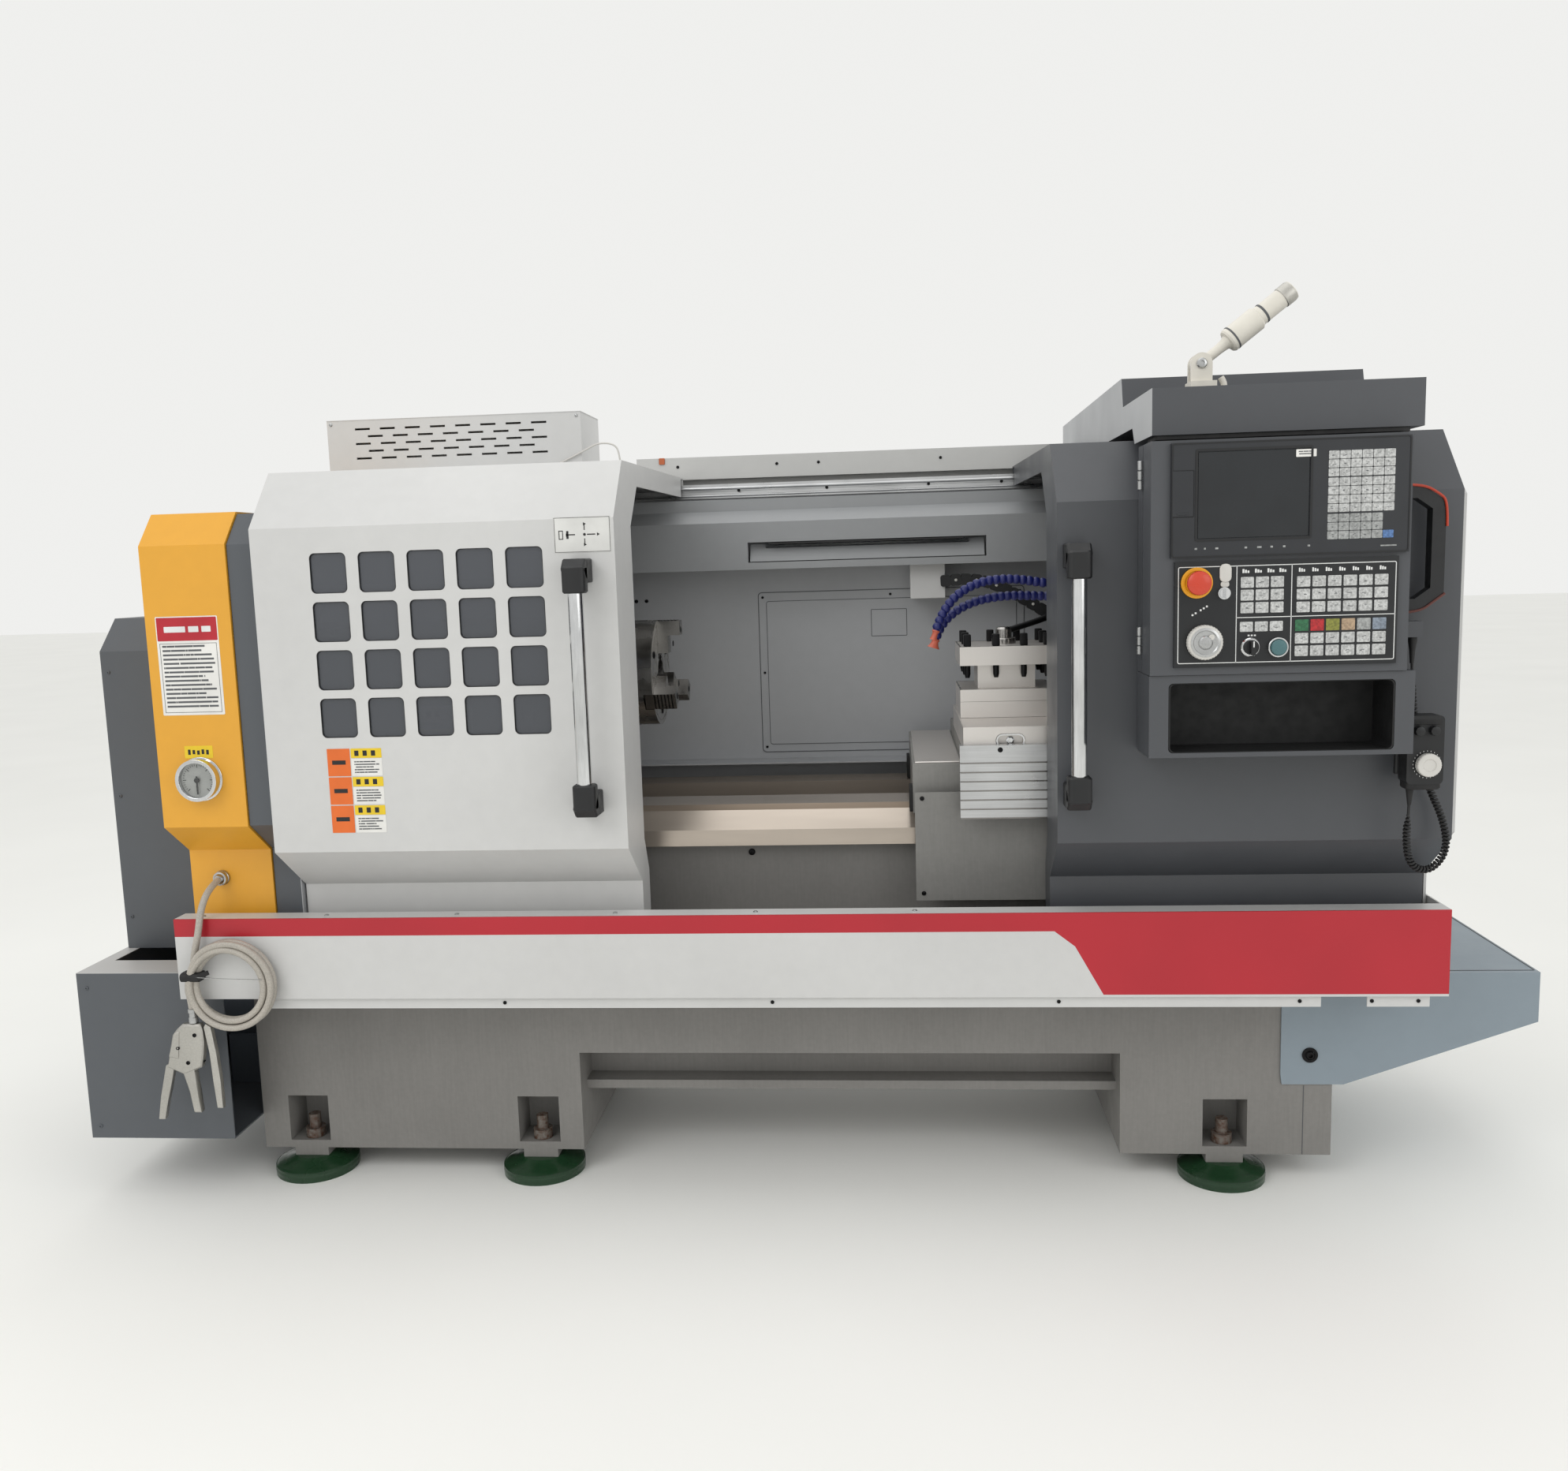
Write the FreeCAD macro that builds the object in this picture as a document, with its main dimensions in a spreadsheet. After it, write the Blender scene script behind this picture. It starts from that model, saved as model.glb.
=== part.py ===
"""Flat-bed CNC turning lathe with sliding doors, 4-way toolpost and hinged control panel.

Working frame while modelling: X along the spindle axis towards the tailstock, Y from the operator
into the machine, Z up, millimetres. The floor is Z = 0, X = 0 is the middle of the front skirt and
Y = 0 is the skirt's face. Every sub-part is placed by (-origin_x, -origin_y), so that the finished
machine stands centred on the origin.
"""
import FreeCAD, Part
import math
import os
import re

import Sketcher

V = FreeCAD.Vector

DIMENSIONS = [
    # frame offset from the working frame to the centre of the machine
    ("origin_x", -3), ("origin_y", 472),
    ("sheet", 3), ("gap", 0.5),
    # cast base
    ("base_left", -1130), ("base_right", 1049), ("base_front", 150), ("base_back", 810),
    ("base_bottom", 53), ("base_top", 430), ("pedestal_left_end", -447), ("pedestal_right_start", 641),
    ("bridge_bottom", 261), ("beam_bottom", 183), ("lip_bottom", 165), ("beam_inset", 100), ("lip_inset", 50),
    ("foot_x_left", -1031), ("foot_x_middle", -539), ("foot_x_right", 845), ("foot_inset", 26),
    ("foot_radius", 84), ("foot_pad_top", 36), ("foot_pad_half", 36), ("bolt_radius", 12),
    ("pocket_half", 43), ("pocket_bottom", 69), ("pocket_top", 167), ("pocket_depth", 80),
    # bed with ways
    ("bed_left", -960), ("bed_right", 1185), ("way_top", 740), ("way_front", 230), ("way_back", 700),
    ("vee_apex", 263), ("vee_drop", 35), ("way_edge_bottom", 672), ("web_front", 262), ("web_back", 680),
    ("chip_gap_front", 435), ("chip_gap_back", 610), ("chip_gap_bottom", 600),
    # spindle line
    ("axis_y", 455), ("axis_z", 1014), ("spindle_radius", 60), ("running_fit", 0.05), ("bore_radius", 31),
    ("chuck_radius", 114.5), ("chuck_face", -300), ("flange_left", -439.5), ("flange_right", -415),
    ("jaw_reach", 48), ("jaw_half", 19), ("jaw_inner", 42), ("jaw_outer", 112),
    ("head_left", -958), ("head_right", -440), ("head_front", 215), ("head_top", 1225),
    # front skirt and tray
    ("skirt_half", 1200), ("skirt_bottom", 428), ("skirt_top", 589), ("skirt_depth", 45),
    ("tray_left", -1126), ("tray_back", 808), ("guide_y", 96), ("guide_top", 557), ("skirt_lip_bottom", 406),
    # left end covers
    ("motor_left", -1434), ("motor_front", 33), ("motor_bottom", 125), ("motor_top", 471),
    ("belt_left", -1427), ("belt_right", -1198), ("belt_front", 205), ("belt_back", 750),
    ("belt_shoulder", 1103), ("belt_top", 1169), ("motor_y", 400), ("motor_z", 300),
    ("gear_left", -1196), ("gear_right", -1028),
    # sliding doors: profile shared by both
    ("door_front", -30), ("door_low_y", 88), ("door_bottom", 560), ("door_low_top", 636),
    ("door_front_bottom", 726), ("door_front_top", 1333), ("door_roof_y", 67), ("door_roof_z", 1441),
    ("door_back", 795), ("door_back_z", 1452), ("flange_bottom", 1407), ("return_y", 125),
    ("left_door_left", -968), ("left_door_right", -287), ("right_door_left", 498), ("right_door_right", 1182),
    ("window_left", -857), ("window_top", 1286), ("window_w", 69), ("window_t", 74),
    ("window_step_x", 92), ("window_step_z", 89.5), ("window_corner", 10),
    ("handle_y", -85), ("handle_tube", 13.5), ("handle_block_top", 1214), ("handle_block_bottom", 843),
    ("handle_block_size", 48),
    # enclosure at the back
    ("wall_y", 782), ("wall_top", 1400), ("wall_left", -1026), ("wall_inner", -972), ("wall_right", 1190),
    ("ledge_z", 770), ("rail_front", 770), ("rail_back", 788), ("rail_bottom", 1401), ("rail_top", 1434),
    ("beam_front", 650), ("beam_low", 1230), ("beam_high", 1393), ("lamp_left", -120), ("lamp_right", 425),
    ("lamp_low", 1246), ("lamp_high", 1292),
    # carriage, cross slide and toolpost
    ("saddle_left", 243), ("saddle_right", 640), ("saddle_front", 200), ("saddle_top", 840),
    ("slide_left", 341), ("slide_right", 575), ("slide_top", 917), ("slide_bottom", 871),
    ("slide_front", 150), ("slide_back", 560),
    ("post_x", 440.5), ("post_y", 396.5), ("post_half", 96.5), ("neck_half", 58.5),
    ("post_base_top", 950), ("post_low_top", 975), ("post_neck_top", 1024), ("post_top", 1062),
    ("hose_radius", 9),
    # tailstock
    ("tail_left", 900), ("tail_right", 1150), ("quill_radius", 32), ("quill_tip", 850),
    # control cabinet and hood
    ("cab_left", 636), ("cab_right", 1051), ("cab_bottom", 1036), ("cab_top", 1421), ("cab_back", -40),
    ("cab_split", -80), ("cab_front", -150), ("panel_face", -156),
    ("hood_left", 643), ("hood_right", 1080), ("hood_front", -116), ("hood_bottom", 1433), ("hood_top", 1510),
    ("trunk_top", 1564), ("trunk_bottom", 1462), ("trunk_back", 1009),
    ("pocket_right", 1067), ("stow_bottom", 896), ("stow_top", 1035),
    # operator controls (centres on the panel)
    ("estop_x", 709), ("estop_z", 1189), ("jog_x", 722), ("jog_z", 1091), ("key_x", 753), ("key_z", 1171),
    ("select_x", 797), ("select_z", 1081), ("push_x", 841), ("push_z", 1080), ("stem_radius", 8),
    # cabinet and resistor box at the back
    ("rear_left", -1170), ("rear_right", 1080), ("rear_front", 830), ("rear_back", 1130),
    ("rear_bottom", 470), ("rear_top", 1450), ("duct_left", -400), ("duct_top", 1502),
    ("resistor_left", -1166), ("resistor_right", -533), ("resistor_top", 1622), ("slot_step_x", 63),
    ("slot_step_z", 17.6), ("slot_length", 38), ("slot_open", 5),
    # coolant tank
    ("tank_right", 1428), ("tank_top", 425), ("tank_front", 146), ("tank_back", 710), ("tank_bottom", 200),
    # gauge, lamp, air hose and pendant
    ("gauge_x", -1112), ("gauge_z", 867), ("gauge_radius", 40),
    ("lamp_x", 742), ("lamp_y", -20), ("lamp_z", 1558), ("lamp_angle", 37.7),
    ("gland_x", -1131), ("gland_z", 655), ("air_radius", 6.5), ("coil_x", -1083), ("coil_z", 464),
    ("coil_outer", 93), ("coil_inner", 62), ("coil_front", -36), ("coil_back", -9),
    ("cord_radius", 7), ("cord_y", -60),
]

doc = FreeCAD.newDocument("cnc_turning_lathe")
sheet = doc.addObject("Spreadsheet::Sheet", "dims")
NUMBER = {}
NODES = []


def fill_sheet():
    """One row per driving dimension: its name, and its value under an alias of the same name."""
    for row, (alias, number) in enumerate(DIMENSIONS, start=1):
        sheet.set(f"A{row}", alias)
        sheet.set(f"B{row}", str(number))
        sheet.setAlias(f"B{row}", alias)
        NUMBER[alias] = number
    doc.recompute()


def bound(formula):
    """The formula with every dimension name pointing at its cell in the sheet."""
    return re.sub(r"(?!cos|sin)\b[a-z][a-z_]+", lambda word: "dims." + word.group(0), str(formula))


def value(formula):
    """The formula's present value in millimetres."""
    return float(sheet.evalExpression(bound(formula)))


def bind(thing, **formulas):
    """Bind named properties of an object to formulas of the sheet's cells."""
    for name, formula in formulas.items():
        thing.setExpression(name, bound(formula))


def place(thing, x, y, z):
    """Bind the object's position, moved from the working frame to the machine's centre."""
    for axis, formula in (("x", f"({x}) - origin_x"), ("y", f"({y}) - origin_y"), ("z", z)):
        thing.setExpression(f"Placement.Base.{axis}", bound(formula))


def node(label, thing):
    """Register a finished sub-part under the name that its file gets."""
    thing.Label = label
    NODES.append(thing)
    return thing


def block(name, x, y, z):
    """A box between two formulas on each axis."""
    box = doc.addObject("Part::Box", name)
    bind(box, Length=f"({x[1]}) - ({x[0]})", Width=f"({y[1]}) - ({y[0]})", Height=f"({z[1]}) - ({z[0]})")
    place(box, x[0], y[0], z[0])
    return box


TURN = {
    "x": FreeCAD.Rotation(V(0, 1, 0), 90),
    "y": FreeCAD.Rotation(V(1, 0, 0), -90),
    "z": FreeCAD.Rotation(),
}


def rod(name, axis, radius, span, centre):
    """A cylinder along one axis; centre holds the two other coordinates in X, Y, Z order."""
    bar = doc.addObject("Part::Cylinder", name)
    bind(bar, Radius=radius, Height=f"({span[1]}) - ({span[0]})")
    bar.Placement = FreeCAD.Placement(V(), TURN[axis])
    spot = list(centre)
    spot.insert("xyz".index(axis), span[0])
    place(bar, *spot)
    return bar


def leaning_rod(name, radius, first, last):
    """A cylinder of the lamp arm, from one distance to another along the arm's direction."""
    bar = doc.addObject("Part::Cylinder", name)
    bind(bar, Radius=radius, Height=f"{last} - {first}")
    bar.Placement = FreeCAD.Placement(V(), FreeCAD.Rotation(V(0, 1, 0), 90 - NUMBER["lamp_angle"]))
    place(bar, f"lamp_x + {first} * cos(lamp_angle)", "lamp_y", f"lamp_z + {first} * sin(lamp_angle)")
    return bar


PLANE = {"x": "YZ_Plane", "y": "XZ_Plane", "z": "XY_Plane"}


def prism(name, axis, span, outline):
    """A body padded along an axis from an outline whose corners are pairs of formulas."""
    body = doc.addObject("PartDesign::Body", name)
    sketch = body.newObject("Sketcher::SketchObject", name + "_outline")
    plane = [feature for feature in body.Origin.OriginFeatures if feature.Role == PLANE[axis]][0]
    sketch.AttachmentSupport = [(plane, "")]
    sketch.MapMode = "FlatFace"
    # the XZ plane faces -Y, so its outline starts at the far end of the span
    bind(sketch, **{"AttachmentOffset.Base.z": f"-({span[1]})" if axis == "y" else span[0]})
    corners = [V(value(across), value(up), 0) for across, up in outline]
    count = len(corners)
    for index in range(count):
        sketch.addGeometry(Part.LineSegment(corners[index], corners[(index + 1) % count]), False)
    for index in range(count):
        sketch.addConstraint(Sketcher.Constraint("Coincident", index, 2, (index + 1) % count, 1))
    for index, corner in enumerate(outline):
        for kind, formula in zip(("DistanceX", "DistanceY"), corner):
            number = sketch.addConstraint(Sketcher.Constraint(kind, -1, 1, index, 1, value(formula)))
            sketch.setExpression(f"Constraints[{number}]", bound(formula))
    pad = body.newObject("PartDesign::Pad", name + "_pad")
    pad.Profile = sketch
    bind(pad, Length=f"({span[1]}) - ({span[0]})")
    place(body, 0, 0, 0)
    return body


def fuse(name, *parts):
    whole = doc.addObject("Part::MultiFuse", name)
    whole.Shapes = list(parts)
    return whole


def cut(name, base, *tools):
    result = doc.addObject("Part::Cut", name)
    result.Base = base
    result.Tool = tools[0] if len(tools) == 1 else fuse(name + "_tools", *tools)
    return result


def group(name, *parts):
    """Separate solids that share one node."""
    bundle = doc.addObject("Part::Compound", name)
    bundle.Links = list(parts)
    return bundle


def rounded(name, box, axis, radius):
    """The box with its four edges along one axis rounded."""
    doc.recompute()
    direction = {"x": V(1, 0, 0), "y": V(0, 1, 0), "z": V(0, 0, 1)}[axis]
    edges = []
    for index, edge in enumerate(box.Shape.Edges, start=1):
        along = (edge.Vertexes[-1].Point - edge.Vertexes[0].Point).normalize()
        if abs(along.dot(direction)) > 0.99:
            edges.append((index, value(radius), value(radius)))
    fillet = doc.addObject("Part::Fillet", name)
    fillet.Base = box
    fillet.Edges = edges
    return fillet


def tube(name, radius, points):
    """A round bar along straight runs joined by tangent arcs; prints the arcs' radii and the volume."""
    shift = V(-NUMBER["origin_x"], -NUMBER["origin_y"], 0)
    route = [V(*point) + shift for point in points]
    edges = []
    radii = []
    start = route[0]
    for before, corner, after in zip(route, route[1:], route[2:]):
        back = (before - corner).normalize()
        ahead = (after - corner).normalize()
        half_turn = (math.pi - back.getAngle(ahead)) / 2
        reach = 0.45 * min((corner - before).Length, (after - corner).Length)
        radii.append(reach / math.tan(half_turn))
        middle_way = (back + ahead).normalize()
        to_arc = radii[-1] / math.cos(half_turn) - radii[-1]
        enter = corner + back * reach
        leave = corner + ahead * reach
        edges.append(Part.LineSegment(start, enter).toShape())
        edges.append(Part.Arc(enter, corner + middle_way * to_arc, leave).toShape())
        start = leave
    edges.append(Part.LineSegment(start, route[-1]).toShape())
    path = Part.Wire(edges)
    ring = Part.Wire([Part.Circle(route[0], route[1] - route[0], radius).toShape()])
    bar = doc.addObject("Part::Feature", name)
    bar.Shape = path.makePipeShell([ring], True, False)
    expected = math.pi * radius ** 2 * path.Length
    print(name, "arc radii", [round(r) for r in radii], "volume ratio", round(bar.Shape.Volume / expected, 4))
    return bar


FEET = [("foot_x_left", 0), ("foot_x_middle", 0), ("foot_x_right", 0),
        ("foot_x_left", 1), ("foot_x_middle", 1), ("foot_x_right", 1)]


def foot_y(row):
    return "base_front + foot_inset" if row == 0 else "base_back - foot_inset"


def bed_base():
    """Two pedestals joined by a channel bridge, with a pocket over each levelling foot."""
    deep = ("base_front", "base_back")
    bridge_x = ("pedestal_left_end - 5", "pedestal_right_start + 5")
    beam_y = ("base_front + beam_inset", "base_back - beam_inset")
    lip_y = ("base_front + lip_inset", "base_back - lip_inset")
    solids = [
        block("base_left_pedestal", ("base_left", "pedestal_left_end"), deep, ("base_bottom", "base_top")),
        block("base_right_pedestal", ("pedestal_right_start", "base_right"), deep, ("base_bottom", "base_top")),
        block("base_bridge", bridge_x, deep, ("bridge_bottom", "base_top")),
        block("base_beam", bridge_x, beam_y, ("beam_bottom", "bridge_bottom + 5")),
        block("base_lip", bridge_x, lip_y, ("lip_bottom", "beam_bottom")),
    ]
    holes = []
    for number, (x, row) in enumerate(FEET, start=1):
        y = foot_y(row)
        pad_x = (f"{x} - foot_pad_half", f"{x} + foot_pad_half")
        pad_y = ("base_front", "base_front + 2 * foot_pad_half") if row == 0 else \
            ("base_back - 2 * foot_pad_half", "base_back")
        solids.append(block(f"base_pad_{number}", pad_x, pad_y, ("foot_pad_top", "base_bottom + 1")))
        pocket_y = ("base_front - 1", "base_front + pocket_depth") if row == 0 else \
            ("base_back - pocket_depth", "base_back + 1")
        pocket_x = (f"{x} - pocket_half", f"{x} + pocket_half")
        holes.append(block(f"base_pocket_{number}", pocket_x, pocket_y, ("pocket_bottom", "pocket_top")))
        holes.append(rod(f"base_hole_{number}", "z", "bolt_radius + 1",
                         ("foot_pad_top - 1", "pocket_bottom + 1"), (x, y)))
    return node("bed_base", cut("base_casting", fuse("base_mass", *solids), *holes))


def leveling_pads():
    """Six round pads with a domed top, each with its levelling bolt and lock nut."""
    pads = []
    for number, (x, row) in enumerate(FEET, start=1):
        spot = (x, foot_y(row))
        disc = rod(f"pad_disc_{number}", "z", "foot_radius", (0, 20), spot)
        dome = doc.addObject("Part::Cone", f"pad_dome_{number}")
        bind(dome, Radius1="foot_radius - 4", Radius2="foot_radius - 44", Height="foot_pad_top - gap - 20")
        place(dome, spot[0], spot[1], 20)
        bolt = rod(f"pad_bolt_{number}", "z", "bolt_radius", (10, 118), spot)
        nut = rod(f"pad_nut_{number}", "z", "bolt_radius + 8", ("pocket_bottom + gap", "pocket_bottom + 20"), spot)
        pads.append(fuse(f"pad_{number}", disc, dome, bolt, nut))
    return node("leveling_pads", group("pads", *pads))


def lathe_bed():
    """Cast bed: a vee way in front, a flat way inside it, the chip gap and the rear flat way."""
    outline = [
        ("web_front", "base_top"), ("web_front", "way_edge_bottom"), ("way_front", "way_edge_bottom"),
        ("way_front", "way_top - vee_drop"), ("vee_apex", "way_top"), ("vee_apex + vee_drop", "way_top - vee_drop"),
        ("vee_apex + vee_drop + 32", "way_top - vee_drop"), ("vee_apex + vee_drop + 32", "way_top"),
        ("chip_gap_front", "way_top"), ("chip_gap_front", "chip_gap_bottom"),
        ("chip_gap_back", "chip_gap_bottom"), ("chip_gap_back", "way_top"),
        ("way_back", "way_top"), ("way_back", "way_edge_bottom"), ("web_back", "way_edge_bottom"),
        ("web_back", "base_top"),
    ]
    return node("lathe_bed", prism("bed_casting", "x", ("bed_left", "bed_right"), outline))


def chip_tray():
    """Folded tray round the bed: front skirt with flanges, door guide, end and back walls."""
    whole = ("-skirt_half", "skirt_half")
    low = "base_top + 1"
    solids = [
        block("skirt_face", whole, (0, "sheet"), ("skirt_bottom", "skirt_top")),
        block("skirt_top_flange", whole, (0, "skirt_depth"), ("skirt_top - sheet", "skirt_top")),
        block("skirt_low_flange", ("tray_left", "skirt_half"), (0, "skirt_depth"), ("skirt_bottom", "skirt_bottom + sheet")),
        block("skirt_lip_main", (-1020, 978), (8, 11), ("skirt_lip_bottom", "skirt_bottom + 1")),
        block("skirt_lip_short", (1060, 1170), (8, 11), ("skirt_lip_bottom", "skirt_bottom + 1")),
        block("tray_front_wall", ("tray_left", "skirt_half"), ("skirt_depth - sheet", "skirt_depth"),
              ("skirt_bottom", "skirt_top")),
        block("tray_front_floor", ("tray_left", "skirt_half"), ("skirt_depth - sheet", "web_front - 4"),
              (low, "base_top + 4")),
        block("tray_back_floor", ("tray_left", "skirt_half"), ("web_back + 4", "tray_back"),
              (low, "base_top + 4")),
        block("tray_tail_floor", ("bed_right + 4", "skirt_half"), ("web_front - 5", "web_back + 5"),
              (low, "base_top + 4")),
        block("tray_head_floor", ("tray_left", "bed_left - 4"), ("web_front - 5", "web_back + 5"),
              (low, "base_top + 4")),
        block("tray_back_wall", ("tray_left", "skirt_half"), ("tray_back - sheet", "tray_back"), (low, 520)),
        block("tray_right_wall", ("skirt_half - sheet", "skirt_half"), (0, "tray_back"), (low, "skirt_top")),
        block("tray_left_wall", ("tray_left", "tray_left + sheet"), ("skirt_depth - sheet", "tray_back"),
              (low, 470)),
        block("door_guide", ("wall_inner + 4", "wall_right - 4"), ("guide_y", "guide_y + sheet"),
              (low, "guide_top")),
    ]
    return node("chip_tray", fuse("tray", *solids))


def motor_cover():
    """Sheet box round the spindle motor, open towards the base, with the belt slot in its top."""
    outer = block("motor_box", ("motor_left", "base_left - 2"), ("motor_front", 700), ("motor_bottom", "motor_top"))
    inner = block("motor_room", ("motor_left + sheet", "base_left + 1"), ("motor_front + sheet", "700 - sheet"),
                  ("motor_bottom + sheet", "motor_top - sheet"))
    slot = block("belt_slot", (-1404, -1210), (118, 610), ("motor_top - 10", "motor_top + 1"))
    return node("motor_cover", cut("motor_shell", outer, inner, slot))


def end_cover():
    """Belt cover over the spindle pulley, open below, with a shoulder along its front top edge."""
    def outline(inset):
        return [(f"belt_front + {inset}", "motor_top + gap"), (f"belt_front + {inset}", f"belt_shoulder - {inset} / 3"),
                (f"belt_front + 65 + {inset} / 3", f"belt_top - {inset}"), (f"belt_back - {inset}", f"belt_top - {inset}"),
                (f"belt_back - {inset}", "motor_top + gap")]
    outer = prism("belt_box", "x", ("belt_left", "belt_right"), outline(0))
    room = prism("belt_room", "x", ("belt_left + sheet", "belt_right - sheet"), outline("sheet"))
    mouth = block("belt_mouth", ("belt_left + sheet", "belt_right - sheet"),
                  ("belt_front + sheet", "belt_back - sheet"), ("motor_top", "motor_top + 10"))
    hole = rod("belt_spindle_hole", "x", 80, ("belt_right - 10", "belt_right + 10"), ("axis_y", "axis_z"))
    return node("end_cover", cut("belt_shell", outer, room, mouth, hole))


def front_profile(inset, bottom, back):
    """Outline shared by the left end covers: low face, chamfer, tall face, sloped shoulder."""
    return [(f"73 + {inset}", bottom), (f"73 + {inset}", f"711 + {inset} / 3"), (f"-8 + {inset}", f"773 + {inset} / 3"),
            (f"-8 + {inset}", f"1309 - {inset} / 3"), (f"46 + {inset} / 3", f"1370 - {inset}"),
            (back, f"1370 - {inset}"), (back, bottom)]


def gearbox_cover():
    """Yellow sheet cover round the spindle's left end, open at its back and bottom."""
    outer = prism("gear_box", "x", ("gear_left", "gear_right"), front_profile(0, "motor_top + 1", "belt_back"))
    room = prism("gear_room", "x", ("gear_left + sheet", "gear_right - sheet"),
                 front_profile("sheet", "motor_top", "belt_back + 1"))
    hole = rod("gear_spindle_hole", "x", 80, ("gear_left - 1", "gear_right + 1"), ("axis_y", "axis_z"))
    return node("gearbox_cover", cut("gear_shell", outer, room, hole))


def splash_guard():
    """Left end wall with the head's profile, back wall, ledge and right end wall, seamed face to face."""
    left = cut("wall_left_shell",
               prism("wall_left_box", "x", ("wall_left", "wall_inner"), front_profile(4, "base_top + 5", "wall_y + sheet")),
               prism("wall_left_room", "x", ("wall_left + sheet", "wall_inner - sheet"),
                     front_profile("4 + sheet", "base_top + 4", "wall_y")),
               rod("wall_spindle_hole", "x", 80, ("wall_left - 1", "wall_inner + 1"), ("axis_y", "axis_z")))
    back = block("wall_back", ("wall_inner", "wall_right"), ("wall_y", "wall_y + sheet"),
                 ("base_top + 5", "wall_top"))
    ledge = block("wall_ledge", ("wall_inner", "wall_right"), ("way_back + 4", "wall_y"),
                  ("ledge_z - sheet", "ledge_z"))
    right = prism("wall_right_plate", "x", ("wall_right", "wall_right + 5"),
                  [(104, "base_top + 5"), (104, "door_low_top + 10"), ("door_front + 20", "door_front_bottom + 8"),
                   ("door_front + 20", "door_front_top - 8"), ("door_roof_y + 4", "beam_high"),
                   ("wall_y + sheet", "beam_high"), ("wall_y + sheet", "base_top + 5")])
    return node("splash_guard", group("guard", left, back, ledge, right))


def top_beam():
    """Folded beam under the door roofs, with the recess that holds the work light."""
    beam = prism("beam_box", "x", ("wall_inner + 1", "wall_right - 1"),
                 [("beam_front", "beam_low"), ("beam_front", 1338), ("beam_front + 38", 1366),
                  ("beam_front + 38", "beam_high"), ("wall_y - 2", "beam_high"), ("wall_y - 2", "beam_low")])
    recess = block("lamp_recess", ("lamp_left", "lamp_right"), ("beam_front - 1", "beam_front + 40"),
                   ("lamp_low", "lamp_high"))
    return node("top_beam", cut("beam_shell", beam, recess))


def door_rail():
    """Rail on top of the back wall that the door roofs' rear flanges run behind."""
    rail = block("rail_bar", ("wall_inner - 40", "wall_right"), ("rail_front", "rail_back"),
                 ("rail_bottom", "rail_top"))
    groove = block("rail_groove", ("wall_inner - 41", "wall_right + 1"), ("rail_front - 1", "rail_front + 6"),
                   ("rail_bottom + 11", "rail_bottom + 17"))
    return node("door_rail", cut("rail", rail, groove))


def door_skin(side, left, right):
    """Folded skin and the two side returns of a sliding door."""
    def section(inset):
        return [(f"door_low_y + {inset}", "door_bottom"), (f"door_low_y + {inset}", f"door_low_top + {inset} / 3"),
                (f"door_front + {inset}", f"door_front_bottom + {inset} / 2"),
                (f"door_front + {inset}", f"door_front_top - {inset} / 3"),
                (f"door_roof_y + {inset} / 2", f"door_roof_z - {inset}"),
                (f"door_back - {inset}", f"door_back_z - {inset}"), (f"door_back - {inset}", "flange_bottom")]
    skin_outline = section(0) + list(reversed(section("sheet")))
    skin = prism(f"{side}_skin", "x", (left, right), skin_outline)
    cheek = [("door_low_y", "door_bottom"), ("door_low_y", "door_low_top"), ("door_front", "door_front_bottom"),
             ("door_front", "door_front_top"), ("door_roof_y", "door_roof_z"), ("door_roof_y + 690", "door_back_z - 1"),
             ("door_roof_y + 690", "flange_bottom - 1"), (203, 1400), ("return_y", 1321), ("return_y", 712),
             (160, 644), (160, "door_bottom")]
    left_cheek = prism(f"{side}_cheek_left", "x", (left, f"{left} + sheet"), cheek)
    right_cheek = prism(f"{side}_cheek_right", "x", (f"{right} - sheet", right), cheek)
    return fuse(f"{side}_shell", skin, left_cheek, right_cheek)


def left_door():
    """Door with the grid of small windows."""
    panes = []
    for column in range(5):
        for row in range(4):
            left = f"window_left + {column} * window_step_x"
            top = f"window_top - {row} * window_step_z"
            opening = block(f"pane_{column}_{row}", (left, f"{left} + window_w"),
                            ("door_front - 5", "door_front + 8"), (f"{top} - window_t", top))
            panes.append(rounded(f"pane_round_{column}_{row}", opening, "y", "window_corner"))
    return node("left_door", cut("left_door_shell", door_skin("left", "left_door_left", "left_door_right"), *panes))


def left_door_window():
    """One clear sheet held behind the window grid."""
    return node("left_door_window", block("window_sheet", ("window_left - 20", "window_left + 460"),
                                          ("door_front + sheet + gap", "door_front + sheet + 4"),
                                          ("window_top - 365", "window_top + 20")))


def right_door():
    return node("right_door", door_skin("right", "right_door_left", "right_door_right"))


def door_handle(side, x):
    """Upright tube between two stand-off blocks; three solids that meet face to face."""
    upper = block(f"{side}_handle_upper", (f"{x} - 21", f"{x} + 21"), ("handle_y - 17", "door_front - gap"),
                  ("handle_block_top", "handle_block_top + handle_block_size"))
    lower = block(f"{side}_handle_lower", (f"{x} - 21", f"{x} + 21"), ("handle_y - 17", "door_front - gap"),
                  ("handle_block_bottom - handle_block_size", "handle_block_bottom"))
    bar = rod(f"{side}_handle_bar", "z", "handle_tube", ("handle_block_bottom", "handle_block_top"), (x, "handle_y"))
    solids = [rounded(f"{side}_upper_soft", upper, "x", 8), rounded(f"{side}_lower_soft", lower, "x", 8), bar]
    return node(f"{side}_door_handle", group(f"{side}_handle", *solids))


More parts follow.
